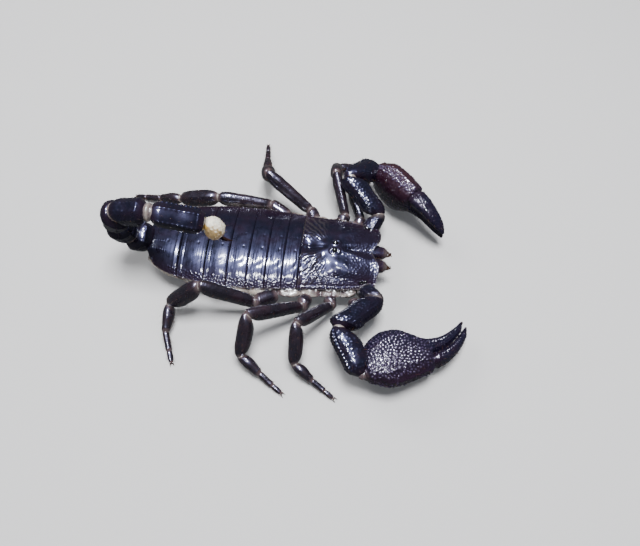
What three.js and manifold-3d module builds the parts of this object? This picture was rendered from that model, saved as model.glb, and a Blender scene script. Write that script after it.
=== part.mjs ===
// Emperor scorpion, life size, standing on level ground with its tail arched over its back.
// Millimetres. +X is the head end, +Y the animal's left, +Z up, the ground is z = 0.
import * as THREE from 'three';
import Module from 'manifold-3d';

const wasm = await Module();
wasm.setup();

const DEG = Math.PI / 180;
const UP = new THREE.Vector3(0, 0, 1);
const GAP = 0.3; // clearance between neighbouring plates and limb segments

// Body, measured along X from the rear edge of the carapace (x = 0).
const CARAPACE_FRONT = 23.2;
const NOTCH_DEPTH = 2.6;
const NOTCH_WIDTH = 3.0;
const TERGITE_LENGTHS = [4.6, 5.0, 5.4, 6.0, 6.8, 8.2, 10.9];
const PLATE_THICKNESS = 1.0;
const PLATE_EDGE_HEIGHT = 8.9;
const TAIL_ROOT = -TERGITE_LENGTHS.reduce((sum, length) => sum + length, 0);
const HALF_WIDTHS = [
  [TAIL_ROOT, 7.6], [-42, 10.8], [-34, 13.3], [-25, 14.3], [-14, 14.5],
  [0, 13.2], [12, 12.3], [20, 11.0], [CARAPACE_FRONT, 9.6],
];
const BACK_HEIGHTS = [
  [TAIL_ROOT, 11.5], [-38, 12.1], [-26, 12.4], [-12, 12.4], [-4, 12.3],
  [0, 12.2], [8, 12.7], [14, 12.6], [20, 12.1], [CARAPACE_FRONT, 11.4],
];
const BELLY_HEIGHTS = [[TAIL_ROOT, 4.6], [-38, 3.4], [-8, 2.9], [0, 2.7], [19, 3.1]];

// Eyes
const EYE_X = 9.8;
const EYE_SPACING = 2.8;
const EYE_RADIUS = 0.8;
const SIDE_EYE_RADIUS = 0.45;

// Tail: segment length, half width, half height, and climb angle measured from straight back.
const TAIL_LEAN = 13 * DEG; // the arch leans to the animal's right
const TAIL_BASE = [TAIL_ROOT, -0.6, 8.4];
const TAIL = [
  { length: 7.2, width: 4.5, height: 3.9, climb: 47 },
  { length: 8.2, width: 4.2, height: 3.8, climb: 78 },
  { length: 8.8, width: 3.9, height: 3.7, climb: 107 },
  { length: 9.7, width: 3.6, height: 3.6, climb: 168 },
  { length: 15.8, width: 3.4, height: 3.3, climb: 197 },
];
const VESICLE_LENGTH = 8.6;
const VESICLE_RADIUS = 2.65;
const STING_LENGTH = 6.2;
const STING_RADIUS = 0.85;

// Legs I to IV: root on the coxa, segment lengths and the heights of the joints.
const LEG_ROOT = { y: 12.1, z: 5.4 };
const LEG_PAIRS = [
  { x: 15.5, lengths: [4.0, 10.0, 10.6, 6.4, 4.3, 3.6], heights: [5.2, 6.8, 3.4, 2.2, 1.2, 0.55] },
  { x: 9.8, lengths: [4.6, 13.8, 12.0, 6.8, 4.6, 3.7], heights: [6.6, 12.4, 4.4, 2.3, 1.2, 0.55] },
  { x: 3.8, lengths: [6.2, 17.4, 12.6, 7.4, 5.0, 3.9], heights: [6.8, 14.0, 4.8, 2.5, 1.2, 0.55] },
  { x: -2.6, lengths: [11.4, 17.0, 13.6, 8.2, 5.8, 4.3], heights: [6.8, 14.8, 5.6, 2.8, 1.3, 0.55] },
];
const LEFT_REAR_HEIGHTS = [6.4, 9.0, 5.4, 2.8, 1.3, 0.55];
// Compass heading of each segment, degrees from +X towards +Y.
const LEG_HEADINGS = {
  left: [
    [71, 112, 88, 30, 15, 10],
    [66, 109, 92, 24, 12, 8],
    [127, 152, 104, 100, 98, 98],
    [150, 182, 176, 170, 170, 172],
  ],
  right: [
    [-60, -112, -52, -22, -6, 4],
    [-90, -132, -89, -34, -32, -32],
    [-113, -150, -101, -34, -34, -34],
    [-150, -178, -168, -92, -70, -68],
  ],
};

// Pedipalps: root, then length, heading and end height of trochanter, femur and patella.
const PALP_ROOT = { x: 18.2, y: 8.6, z: 5.6 };
const PALPS = {
  left: {
    segments: [[8.6, 59, 9.6], [14.6, 135, 14.2], [12.6, 49, 10.0]],
    hand: { length: 31.5, heading: -44, tip: 5.6, roll: 95, open: 1 },
  },
  right: {
    segments: [[9.2, -52, 9.8], [15.0, -133, 12.2], [14.5, -57, 9.2]],
    hand: { length: 35.0, heading: 36, tip: 4.6, roll: 4, open: 0 },
  },
};
const PALP_WIDTHS = { trochanter: 2.6, femur: 3.3, patella: 3.6 };
// Chela outline along its length: station, middle line (towards the inner side), half width,
// half thickness.
const HAND = [
  [0.00, 0.0, 1.9, 2.1], [0.05, 0.1, 3.9, 3.3], [0.14, 0.3, 6.9, 4.5], [0.30, 0.3, 8.1, 5.0],
  [0.43, -0.5, 7.6, 4.7], [0.52, -2.2, 5.8, 4.0],
];
const FIXED_FINGER = [
  [0.57, -1.5, 2.7, 3.2], [0.63, -2.0, 2.1, 2.8], [0.72, -2.3, 1.6, 2.4],
  [0.82, -1.8, 1.25, 2.0], [0.92, -0.9, 0.95, 1.5], [0.99, 0.3, 0.4, 0.6],
];
const MOVABLE_FINGER = [
  [0.575, -6.1, 1.7, 2.7], [0.64, -6.25, 1.75, 2.7], [0.72, -6.0, 1.55, 2.4],
  [0.82, -5.0, 1.35, 2.0], [0.91, -3.6, 1.05, 1.5], [0.985, -1.7, 0.45, 0.6],
];

const FINISH = {
  shell: { color: 0x14141c, roughness: 0.24 },
  belly: { color: 0x2a1d1c, roughness: 0.38 },
  soft: { color: 0xb9aaa0, roughness: 0.6 },
  hand: { color: 0x2a1218, roughness: 0.3 },
  leg: { color: 0x1c1418, roughness: 0.28 },
  eye: { color: 0x050507, roughness: 0.08 },
  vesicle: { color: 0xd9c9a8, roughness: 0.4 },
  sting: { color: 0x3a1a10, roughness: 0.25 },
};

const group = new THREE.Group();
group.name = 'emperor_scorpion';

// ---------------------------------------------------------------- shaping helpers

function lookup(table, x) {
  let i = 0;
  while (i < table.length - 2 && x > table[i + 1][0]) {
    i += 1;
  }
  const [x0, v0] = table[i];
  const [x1, v1] = table[i + 1];
  const u = Math.min(1, Math.max(0, (x - x0) / (x1 - x0)));
  return v0 + (v1 - v0) * u;
}

// Indexed geometry of a closed surface, wound so that it encloses a positive volume.
function closedGeometry(points, faces) {
  let volume = 0;
  for (const [a, b, c] of faces) {
    volume += points[a].dot(new THREE.Vector3().crossVectors(points[b], points[c]));
  }
  const wound = volume > 0 ? faces : faces.map(([a, b, c]) => [a, c, b]);
  const geometry = new THREE.BufferGeometry();
  geometry.setAttribute('position', new THREE.Float32BufferAttribute(
    points.flatMap((p) => [p.x, p.y, p.z]), 3));
  geometry.setIndex(wound.flat());
  return geometry;
}

// Surface through a row of rings, closed with a fan at each end.
function loft(rings) {
  const count = rings[0].length;
  const points = rings.flat();
  const faces = [];
  for (let i = 0; i + 1 < rings.length; i += 1) {
    for (let j = 0; j < count; j += 1) {
      const a = i * count + j;
      const b = i * count + ((j + 1) % count);
      faces.push([a, b, b + count], [a, b + count, a + count]);
    }
  }
  for (const [ring, start, flip] of [[rings[0], 0, true],
    [rings[rings.length - 1], (rings.length - 1) * count, false]]) {
    const middle = new THREE.Vector3();
    ring.forEach((p) => middle.addScaledVector(p, 1 / count));
    points.push(middle);
    for (let j = 0; j < count; j += 1) {
      const a = start + j;
      const b = start + ((j + 1) % count);
      faces.push(flip ? [b, a, points.length - 1] : [a, b, points.length - 1]);
    }
  }
  return closedGeometry(points, faces);
}

// Curved plate between an outer and an inner grid of points.
function plate(outer, inner) {
  const rows = outer.length;
  const columns = outer[0].length;
  const points = [...outer.flat(), ...inner.flat()];
  const faces = [];
  const under = rows * columns;
  const quad = (a, b, c, d) => faces.push([a, b, c], [a, c, d]);
  for (let i = 0; i + 1 < rows; i += 1) {
    for (let j = 0; j + 1 < columns; j += 1) {
      const a = i * columns + j;
      quad(a, a + 1, a + columns + 1, a + columns);
      const b = a + under;
      quad(b, b + columns, b + columns + 1, b + 1);
    }
  }
  for (let i = 0; i + 1 < rows; i += 1) {
    const a = i * columns;
    const b = a + columns - 1;
    quad(a, a + columns, a + columns + under, a + under);
    quad(b, b + under, b + columns + under, b + columns);
  }
  for (let j = 0; j + 1 < columns; j += 1) {
    const b = (rows - 1) * columns + j;
    quad(j, j + under, j + 1 + under, j + 1);
    quad(b, b + 1, b + 1 + under, b + under);
  }
  return closedGeometry(points, faces);
}

// Rounded-box ring about a centre, slid along `along` until it lies in the plane `normal`.
function ring(centre, side, up, width, height, along, normal, count, power = 2.6) {
  const points = [];
  for (let j = 0; j < count; j += 1) {
    const angle = ((j + 0.5) / count) * 2 * Math.PI;
    const c = Math.cos(angle);
    const s = Math.sin(angle);
    const p = new THREE.Vector3()
      .addScaledVector(side, width * Math.sign(c) * Math.abs(c) ** (2 / power))
      .addScaledVector(up, height * Math.sign(s) * Math.abs(s) ** (2 / power));
    p.addScaledVector(along, -p.dot(normal) / along.dot(normal));
    points.push(p.add(centre));
  }
  return points;
}

function direction(a, b) {
  return new THREE.Vector3().subVectors(b, a).normalize();
}

// Jointed tube through `points`. `spans[i]` lists [station, half width, half height] between
// points i and i + 1. Ends are cut on the plane that halves the bend towards the neighbouring
// segment, half a gap short of it; `grow` swells the whole for carving a clearance.
function limb(points, before, after, spans, count, grow = 0, sideOf = null) {
  const rings = [];
  const last = points.length - 2;
  const ahead = points.slice(1).map((p, i) => direction(points[i], p));
  spans.forEach((stations, i) => {
    const along = ahead[i];
    const side = sideOf ?? new THREE.Vector3().crossVectors(UP, along).normalize();
    const up = new THREE.Vector3().crossVectors(along, side).normalize();
    const across = new THREE.Vector3().crossVectors(up, along);
    const length = points[i].distanceTo(points[i + 1]);
    const arriving = i > 0 ? ahead[i - 1] : before ? direction(before, points[0]) : along;
    const leaving = i < last ? ahead[i + 1]
      : after ? direction(points[last + 1], after) : along;
    const startPlane = new THREE.Vector3().addVectors(arriving, along).normalize();
    const endPlane = new THREE.Vector3().addVectors(along, leaving).normalize();
    const startSlide = i > 0 ? 0 : ((before ? GAP / 2 : 0) - grow * 1.5) / along.dot(startPlane);
    const endSlide = i < last ? 0 : (grow * 1.5 - (after ? GAP / 2 : 0)) / along.dot(endPlane);
    for (const [station, width, height] of stations) {
      const centre = points[i].clone().addScaledVector(along,
        startSlide + station * (length + endSlide - startSlide));
      const loop = ring(centre, across, up, width + grow, height + grow, along, along, count);
      for (const p of loop) {
        const offset = p.clone().sub(centre);
        const atStart = -offset.dot(startPlane) / along.dot(startPlane);
        const atEnd = -offset.dot(endPlane) / along.dot(endPlane);
        p.addScaledVector(along, atStart * (1 - station) ** 2 + atEnd * station ** 2);
      }
      rings.push(loop);
    }
  });
  for (const p of rings.flat()) {
    p.z = Math.max(p.z, 0);
  }
  return loft(rings);
}

function toSolid(geometry) {
  return new wasm.Manifold(new wasm.Mesh({
    numProp: 3,
    vertProperties: new Float32Array(geometry.attributes.position.array),
    triVerts: new Uint32Array(geometry.index.array),
  }));
}

function fromSolid(solid) {
  const mesh = solid.simplify(0.012).getMesh();
  const geometry = new THREE.BufferGeometry();
  geometry.setAttribute('position', new THREE.Float32BufferAttribute(mesh.vertProperties, 3));
  geometry.setIndex(Array.from(mesh.triVerts));
  return geometry;
}

function carve(geometry, cutters) {
  return fromSolid(cutters.reduce((solid, cutter) => solid.subtract(toSolid(cutter)),
    toSolid(geometry)));
}

function addPiece(name, geometry, finish) {
  const material = new THREE.MeshStandardMaterial({ ...FINISH[finish], metalness: 0 });
  const mesh = new THREE.Mesh(geometry, material);
  mesh.name = name;
  group.add(mesh);
}

// ---------------------------------------------------------------- back plates

function backHeight(x, y, inset = 0) {
  const reach = lookup(HALF_WIDTHS, x) - inset;
  const rise = lookup(BACK_HEIGHTS, x) - inset - PLATE_EDGE_HEIGHT;
  const share = Math.min(1, Math.abs(y) / reach);
  return PLATE_EDGE_HEIGHT + rise * (1 - share ** 2.5);
}

function archRow(x, columns, inset, relief) {
  const reach = lookup(HALF_WIDTHS, x) - inset;
  const row = [];
  for (let j = 0; j < columns; j += 1) {
    const y = reach * Math.sin((2 * j / (columns - 1) - 1) * 90 * DEG);
    row.push(new THREE.Vector3(x, y, backHeight(x, y, inset) + relief(x, y)));
  }
  return row;
}

const flat = () => 0;

let tergiteFront = 0;
TERGITE_LENGTHS.forEach((length, index) => {
  const rear = tergiteFront - length;
  const stations = [tergiteFront - GAP / 2, tergiteFront - length * 0.5, rear + GAP / 2];
  const lift = [0, 0, 0.25];
  const outer = stations.map((x, i) => archRow(x, 11, 0, () => lift[i] * (index < 6 ? 1 : 0)));
  const inner = stations.map((x) => archRow(x, 11, PLATE_THICKNESS, flat));
  addPiece(`tergite_${index + 1}`, plate(outer, inner), 'shell');
  tergiteFront = rear;
});

// The carapace has a notched front edge, a furrow down the middle and a low eye mound.
function frontEdge(y) {
  const corner = (Math.abs(y) / lookup(HALF_WIDTHS, 20)) ** 5;
  const notch = Math.exp(-((y / NOTCH_WIDTH) ** 2));
  return CARAPACE_FRONT - NOTCH_DEPTH * notch - 1.6 * corner;
}

function carapaceRelief(x, y) {
  const mound = 0.75 * Math.exp(-(((x - EYE_X) / 2.4) ** 2) - (y / 2.2) ** 2);
  const front = THREE.MathUtils.smoothstep(x, EYE_X + 1, EYE_X + 5);
  const furrow = 0.55 * front * Math.exp(-((y / 1.4) ** 2));
  const rear = 0.5 * Math.exp(-((y / 1.6) ** 2)) * THREE.MathUtils.smoothstep(6 - x, 0, 4);
  return mound - furrow - rear;
}

function carapaceRows(inset, relief) {
  const rows = [];
  for (const u of [0, 0.15, 0.3, 0.42, 0.54, 0.7, 0.86, 1]) {
    const base = archRow(GAP / 2 + u * (CARAPACE_FRONT - GAP / 2), 13, inset, flat);
    rows.push(base.map((p) => {
      const x = GAP / 2 + u * (frontEdge(p.y) - GAP / 2);
      return new THREE.Vector3(x, p.y, backHeight(x, p.y, inset) + relief(x, p.y));
    }));
  }
  return rows;
}

const carapaceShell = plate(carapaceRows(0, carapaceRelief),
  carapaceRows(PLATE_THICKNESS, (x, y) => Math.min(0, carapaceRelief(x, y))));

// ---------------------------------------------------------------- eyes

function backPoint(x, y, rise) {
  return new THREE.Vector3(x, y, backHeight(x, y) + carapaceRelief(x, y) + rise);
}

function backNormal(x, y) {
  const step = 0.4;
  const dx = direction(backPoint(x - step, y, 0), backPoint(x + step, y, 0));
  const dy = direction(backPoint(x, y - step, 0), backPoint(x, y + step, 0));
  return new THREE.Vector3().crossVectors(dx, dy).normalize();
}

function dome(x, y, radius, height, clearance) {
  const normal = backNormal(x, y);
  const side = new THREE.Vector3().crossVectors(normal, new THREE.Vector3(1, 0, 0)).normalize();
  const front = new THREE.Vector3().crossVectors(side, normal);
  const rings = [0, 35, 65, 84].map((angle) => {
    const centre = backPoint(x, y, 0).addScaledVector(normal,
      clearance + height * Math.sin(angle * DEG));
    const r = radius * Math.cos(angle * DEG);
    return ring(centre, side, front, r, r, normal, normal, 10, 2);
  });
  return loft(rings);
}

for (const [label, sign] of [['left', 1], ['right', -1]]) {
  const y = sign * EYE_SPACING / 2;
  addPiece(`eye_median_${label}`, dome(EYE_X, y, EYE_RADIUS, 0.7, 0.14), 'eye');
  const cluster = [19.6, 18.85, 18.1].map((x, i) => toSolid(
    dome(x, sign * (9.3 + 0.22 * i), SIDE_EYE_RADIUS, 0.4, 0.14)));
  addPiece(`eyes_lateral_${label}`, fromSolid(cluster[0].add(cluster[1]).add(cluster[2])),
    'eye');
}

// ---------------------------------------------------------------- tail

const tailSide = new THREE.Vector3(0, Math.cos(TAIL_LEAN), Math.sin(TAIL_LEAN));
const tailUp = new THREE.Vector3(0, -Math.sin(TAIL_LEAN), Math.cos(TAIL_LEAN));

function tailHeading(climb) {
  return new THREE.Vector3(-Math.cos(climb * DEG), 0, 0)
    .addScaledVector(tailUp, Math.sin(climb * DEG));
}

const tailJoints = [new THREE.Vector3(...TAIL_BASE)];
TAIL.forEach((segment, i) => {
  tailJoints.push(tailJoints[i].clone().addScaledVector(tailHeading(segment.climb),
    segment.length));
});

function tailPiece(i, grow) {
  const segment = TAIL[i];
  const { width, height } = segment;
  const next = TAIL[i + 1] ?? segment;
  const stations = [
    [0, width * 0.82, height * 0.84], [0.16, width * 0.96, height * 0.98],
    [0.5, width, height], [0.85, width * 1.0, height * 1.04],
    [1, (width + next.width) * 0.43, (height + next.height) * 0.44],
  ];
  const level = tailHeading(segment.climb).multiply(new THREE.Vector3(-6, 6, 6));
  const before = i > 0 ? tailJoints[i - 1] : tailJoints[0].clone().add(level);
  const after = tailJoints[i + 2] ?? null;
  return limb([tailJoints[i], tailJoints[i + 1]], before, after, [stations], 12, grow,
    tailSide.clone().negate());
}

TAIL.forEach((_, i) => addPiece(`tail_${i + 1}`, tailPiece(i, 0), 'shell'));

// The vesicle hangs from the last segment; the sting curves forward from its lower end.
function bentRings(start, climb, length, bend, stations, count) {
  const rings = [];
  const centre = start.clone();
  let previous = 0;
  for (const [u, width, height] of stations) {
    const steps = 4;
    for (let k = 0; k < steps; k += 1) {
      const at = previous + (u - previous) * (k + 0.5) / steps;
      centre.addScaledVector(tailHeading(climb + bend(at)), length * (u - previous) / steps);
    }
    previous = u;
    const along = tailHeading(climb + bend(u));
    const up = new THREE.Vector3().crossVectors(along, tailSide).normalize();
    rings.push(ring(centre.clone(), tailSide, up, width, height, along, along, count, 2.2));
  }
  return { rings, end: centre, climb: climb + bend(1) };
}

const lastSegment = TAIL[TAIL.length - 1];
const vesicleStart = tailJoints[TAIL.length].clone().addScaledVector(
  tailHeading(lastSegment.climb), GAP);
const vesicle = bentRings(vesicleStart, lastSegment.climb + 30, VESICLE_LENGTH,
  (u) => 38 * Math.min(1, u * 4), [
    [0, 1.7, 1.6], [0.12, 2.3, 2.2], [0.34, VESICLE_RADIUS, VESICLE_RADIUS],
    [0.6, VESICLE_RADIUS, VESICLE_RADIUS], [0.82, 2.1, 2.1], [1, 1.15, 1.15],
  ], 12);
addPiece('vesicle', carve(loft(vesicle.rings), [tailPiece(TAIL.length - 1, GAP)]), 'vesicle');
const stingStart = vesicle.end.clone().addScaledVector(tailHeading(vesicle.climb), GAP * 2);
const sting = bentRings(stingStart, vesicle.climb, STING_LENGTH, (u) => -85 * u, [
  [0, STING_RADIUS * 1.2, STING_RADIUS * 1.2], [0.3, STING_RADIUS * 0.9, STING_RADIUS * 0.9],
  [0.65, 0.5, 0.5], [1, 0.26, 0.26],
], 8);
addPiece('sting', loft(sting.rings), 'sting');

// ---------------------------------------------------------------- legs and pedipalps

function jointsFrom(root, lengths, headings, heights) {
  const joints = [root];
  lengths.forEach((length, i) => {
    const p = joints[i];
    const rise = heights[i] - p.z;
    const reach = Math.sqrt(length * length - rise * rise);
    const heading = headings[i] * DEG;
    joints.push(new THREE.Vector3(p.x + reach * Math.cos(heading),
      p.y + reach * Math.sin(heading), heights[i]));
  });
  return joints;
}

const clearances = []; // swollen copies of what passes through the soft flank
const palpRoots = []; // and of what passes under the front corners of the carapace

function buildLeg(label, sign, index) {
  const pair = LEG_PAIRS[index];
  const size = [0.86, 0.93, 1.0, 1.06][index];
  const heights = label === 'left' && index === 3 ? LEFT_REAR_HEIGHTS : pair.heights;
  const root = new THREE.Vector3(pair.x, sign * LEG_ROOT.y, LEG_ROOT.z);
  const j = jointsFrom(root, pair.lengths, LEG_HEADINGS[label][index], heights);
  const scaled = (stations) => stations.map(([u, w, h]) => [u, w * size, h * size]);
  const upper = (grow) => limb([j[0], j[1], j[2]], null, j[3], [
    scaled([[0.4, 1.9, 2.1], [0.7, 2.05, 2.35]]),
    scaled([[0, 1.55, 1.9], [0.2, 1.6, 2.2], [0.6, 1.75, 2.5], [0.9, 1.7, 2.3],
      [1, 1.4, 1.8]]),
  ], 8, grow);
  const name = `leg_${label}_${index + 1}`;
  addPiece(`${name}_femur`, upper(0), 'leg');
  clearances.push(upper(GAP));
  addPiece(`${name}_patella`, limb([j[2], j[3]], j[1], j[4], [
    scaled([[0, 1.5, 1.85], [0.15, 2.0, 2.45], [0.5, 2.25, 2.65], [0.88, 1.85, 2.15],
      [1, 1.35, 1.6]]),
  ], 8), 'leg');
  addPiece(`${name}_tibia`, limb(j.slice(3), j[2], null, [
    scaled([[0, 1.25, 1.4], [0.3, 1.6, 1.8], [0.9, 1.15, 1.35]]),
    scaled([[0, 0.9, 1.0], [0.85, 0.85, 0.95]]),
    scaled([[0, 0.7, 0.8], [0.4, 0.75, 0.8], [1, 0.4, 0.5]]),
  ], 8), 'leg');
}

// A chela ring in the hand's own frame: `inner` points towards the fixed finger's side.
function handRing(frame, [u, middle, width, thickness], count, swell = 0) {
  const centre = frame.start.clone().addScaledVector(frame.along, u * frame.length)
    .addScaledVector(frame.inner, middle);
  return ring(centre, frame.inner, frame.top, width + swell, thickness + swell, frame.along,
    frame.along, count, 2.3);
}

function handFrame(start, sign, { length, heading, tip, roll }) {
  const drop = tip - start.z;
  const reach = Math.sqrt(length * length - drop * drop);
  const along = new THREE.Vector3(reach * Math.cos(heading * DEG),
    reach * Math.sin(heading * DEG), drop).normalize();
  const side = new THREE.Vector3().crossVectors(UP, along).normalize();
  const inner = side.multiplyScalar(-sign).applyAxisAngle(along, sign * roll * DEG);
  const top = new THREE.Vector3().crossVectors(along, inner).normalize();
  return { start, along, inner, top, length };
}

function buildPalp(label, sign) {
  const { segments, hand } = PALPS[label];
  const root = new THREE.Vector3(PALP_ROOT.x, sign * PALP_ROOT.y, PALP_ROOT.z);
  const j = jointsFrom(root, segments.map((s) => s[0]), segments.map((s) => s[1]),
    segments.map((s) => s[2]));
  const frame = handFrame(j[3], sign, hand);
  const w = PALP_WIDTHS;
  const name = `pedipalp_${label}`;
  const trochanter = (grow) => limb([j[0], j[1]], null, j[2], [
    [[0, w.trochanter * 0.85, 2.3], [0.4, w.trochanter, 2.6],
      [1, w.trochanter * 0.85, 2.3]],
  ], 10, grow);
  addPiece(`${name}_trochanter`, trochanter(0), 'shell');
  clearances.push(trochanter(GAP));
  palpRoots.push(trochanter(GAP));
  addPiece(`${name}_femur`, limb([j[1], j[2]], j[0], j[3], [
    [[0, 2.0, 2.1], [0.16, w.femur * 0.9, 2.7], [0.6, w.femur, 3.0],
      [0.88, w.femur, 2.9], [1, 1.9, 2.1]],
  ], 10), 'shell');
  const patella = (grow) => limb([j[2], j[3]], j[1], null, [
    [[0, 1.9, 2.1], [0.2, w.patella * 0.95, 3.0], [0.55, w.patella, 3.3],
      [0.88, w.patella * 0.9, 2.9], [1, 1.9, 2.0]],
  ], 10, grow);
  addPiece(`${name}_patella`, patella(0), 'shell');
  frame.start = j[3].clone().addScaledVector(frame.along, GAP);
  const palm = [...HAND, ...FIXED_FINGER].map((station) => handRing(frame, station, 14));
  const hinge = frame.start.clone()
    .addScaledVector(frame.along, MOVABLE_FINGER[0][0] * frame.length)
    .addScaledVector(frame.inner, MOVABLE_FINGER[0][1]);
  const swing = -sign * hand.open * DEG * Math.sign(frame.top.z);
  const finger = (swell) => {
    const rings = MOVABLE_FINGER.map((station) => handRing(frame, station, 10, swell));
    rings.flat().forEach((p) => {
      p.sub(hinge).applyAxisAngle(frame.top, swing).add(hinge);
    });
    return loft(rings);
  };
  addPiece(`${name}_manus`, carve(loft(palm), [finger(GAP), patella(GAP)]), 'hand');
  addPiece(`${name}_finger`, finger(0), 'hand');
}

for (const [label, sign] of [['left', 1], ['right', -1]]) {
  LEG_PAIRS.forEach((_, index) => buildLeg(label, sign, index));
  buildPalp(label, sign);
}

addPiece('carapace', carve(carapaceShell, palpRoots), 'shell');

// ---------------------------------------------------------------- underside

const BELLY_PLATES = 5; // plates III to VII
const BELLY_FRONT = -7.4;
// How far the soft flank swells out past the back plates: a little at the middle of the body,
// and most over the leg roots.
const FLANK_SWELL = [
  [TAIL_ROOT, 0], [-30, 0], [-24, 0.7], [-8, 0.9], [-7.1, 1.1], [-4, 1.9], [14, 2.1],
  [17.2, 1.2],
];

// Soft flank between back and belly plates, running from the mouth to the tail root.
function flankRing(x) {
  const reach = lookup(HALF_WIDTHS, x) - PLATE_THICKNESS - GAP;
  const floor = lookup(BELLY_HEIGHTS, x) + (x > -7 ? 3.9 : 1.4);
  const half = [];
  for (let k = 0; k <= 5; k += 1) {
    const y = reach * Math.sin(k * 18 * DEG);
    const soft = Math.min(0, x > 0 ? carapaceRelief(x, y) : 0);
    half.push([y, backHeight(x, y, PLATE_THICKNESS + GAP) - 0.2 + soft]);
  }
  half[5][1] = PLATE_EDGE_HEIGHT - GAP - 0.1;
  const swell = lookup(FLANK_SWELL, x);
  half.push([reach + 0.9 + 0.4 * swell, PLATE_EDGE_HEIGHT - GAP - 0.5]);
  half.push([reach + 0.8 + swell, (PLATE_EDGE_HEIGHT + floor) / 2 - 0.3 * swell]);
  const droop = x > BELLY_FRONT ? swell : 0;
  half.push([reach * 0.93 + swell * 0.85, floor + 0.4 + 0.2 * swell - 0.9 * droop]);
  half.push([reach * 0.93 + 0.2 * swell, floor + 0.1 - 0.2 * droop]);
  half.push([reach * 0.8, floor]);
  const left = half.map(([y, z]) => new THREE.Vector3(x, y, z));
  const right = half.slice(1).reverse().map(([y, z]) => new THREE.Vector3(x, -y, z));
  return [...left, ...right];
}

const flankStations = [TAIL_ROOT + GAP, -42, -34, -25, -14, -7.2, -6.9, 0, 4, 8, 11, 14, 17.2];
addPiece('flank', carve(loft(flankStations.map(flankRing)), clearances), 'soft');

// Belly plates III to VII in one piece, stepped at each plate.
function bellyRow(x, rise, inset) {
  const reach = (lookup(HALF_WIDTHS, x) - 1.6) * (1 - 0.04 * inset);
  const row = [];
  for (let k = 0; k < 9; k += 1) {
    const t = Math.sin((k / 8 * 2 - 1) * 90 * DEG);
    const upturn = t ** 4;
    const thickness = inset * (0.9 - 0.45 * upturn);
    row.push(new THREE.Vector3(x, reach * t,
      lookup(BELLY_HEIGHTS, x) + 0.85 * upturn + rise + thickness));
  }
  return row;
}
const bellyOuter = [];
const bellyInner = [];
const bellyStep = (TAIL_ROOT + GAP - BELLY_FRONT) / BELLY_PLATES;
for (let k = 0; k < BELLY_PLATES; k += 1) {
  for (const [u, rise] of [[0.03, 0.25], [0.97, 0]]) {
    const x = BELLY_FRONT + bellyStep * (k + u);
    bellyOuter.push(bellyRow(x, rise, 0));
    bellyInner.push(bellyRow(x, 0, 1));
  }
}
addPiece('belly_plates', plate(bellyOuter, bellyInner), 'belly');

// Leg bases and breastbone under the carapace.
function coxaRow(x, top) {
  const reach = Math.min(lookup(HALF_WIDTHS, x) - 1.9, 11.2) * (x > 15 ? 0.93 : 1);
  const row = [];
  for (let k = 0; k < 9; k += 1) {
    const t = Math.sin((k / 8 * 2 - 1) * 90 * DEG);
    const low = lookup(BELLY_HEIGHTS, x);
    row.push(new THREE.Vector3(x, reach * t, top ? low + 3.3 : low + 1.2 * Math.abs(t) ** 3));
  }
  return row;
}
const coxaStations = [-6.6, -3, 1, 5, 9, 13, 16.6, 19.4];
addPiece('leg_bases', carve(plate(coxaStations.map((x) => coxaRow(x, false)),
  coxaStations.map((x) => coxaRow(x, true))), clearances), 'belly');

// Combs: a flat bar with a row of teeth along the rear edge.
const COMB_LENGTH = 10.5;
const COMB_TEETH = 12;
const COMB_SWEEP = 108 * DEG; // from straight ahead to the comb's outer end
const COMB_ROOT = { x: -8.6, y: 1.2, z: 1.9 };
for (const [label, sign] of [['left', 1], ['right', -1]]) {
  const outline = new THREE.Shape();
  outline.moveTo(0, 0);
  outline.lineTo(0, 2.4);
  outline.lineTo(COMB_LENGTH * 0.5, 2.2);
  outline.lineTo(COMB_LENGTH, 1.0);
  for (let k = COMB_TEETH - 1; k >= 0; k -= 1) {
    const pitch = COMB_LENGTH / COMB_TEETH;
    const reach = 1.5 - 0.6 * (k / COMB_TEETH);
    outline.lineTo((k + 0.95) * pitch, 0.1);
    outline.lineTo((k + 0.8) * pitch, -reach);
    outline.lineTo((k + 0.35) * pitch, -reach);
    if (k > 0) {
      outline.lineTo((k + 0.15) * pitch, 0.1);
    }
  }
  outline.closePath();
  const comb = new THREE.ExtrudeGeometry(outline, { depth: 0.6, bevelEnabled: false });
  comb.scale(1, -1, 1); // the teeth point to the rear
  comb.rotateZ(COMB_SWEEP);
  comb.scale(1, sign, 1);
  comb.translate(COMB_ROOT.x, sign * COMB_ROOT.y, COMB_ROOT.z);
  addPiece(`comb_${label}`, closedFromSoup(comb), 'belly');
}

// Weld an unindexed surface and wind it outward.
function closedFromSoup(geometry) {
  const position = geometry.attributes.position;
  const seen = new Map();
  const points = [];
  const order = [];
  for (let i = 0; i < position.count; i += 1) {
    const p = new THREE.Vector3().fromBufferAttribute(position, i);
    const key = [p.x, p.y, p.z].map((v) => v.toFixed(3)).join();
    if (!seen.has(key)) {
      seen.set(key, points.length);
      points.push(p);
    }
    order.push(seen.get(key));
  }
  const faces = [];
  for (let i = 0; i < order.length; i += 3) {
    faces.push([order[i], order[i + 1], order[i + 2]]);
  }
  return closedGeometry(points, faces);
}

// Jaws under the front edge of the carapace.
for (const [label, sign] of [['left', 1], ['right', -1]]) {
  const rings = [[17.6, 2.5, 2.0, 1.5], [20, 2.55, 2.1, 1.6], [23.4, 2.5, 2.0, 1.55],
    [25.4, 2.3, 1.5, 1.2], [26.6, 2.1, 0.7, 0.6]].map(([x, y, w, h]) => ring(
    new THREE.Vector3(x, sign * y, 8.25 - (x - 17.6) * 0.05),
    new THREE.Vector3(0, 1, 0), UP, w, h, new THREE.Vector3(1, 0, 0),
    new THREE.Vector3(1, 0, 0), 10));
  addPiece(`chelicera_${label}`, loft(rings), 'shell');
}

// ---------------------------------------------------------------- origin

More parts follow.
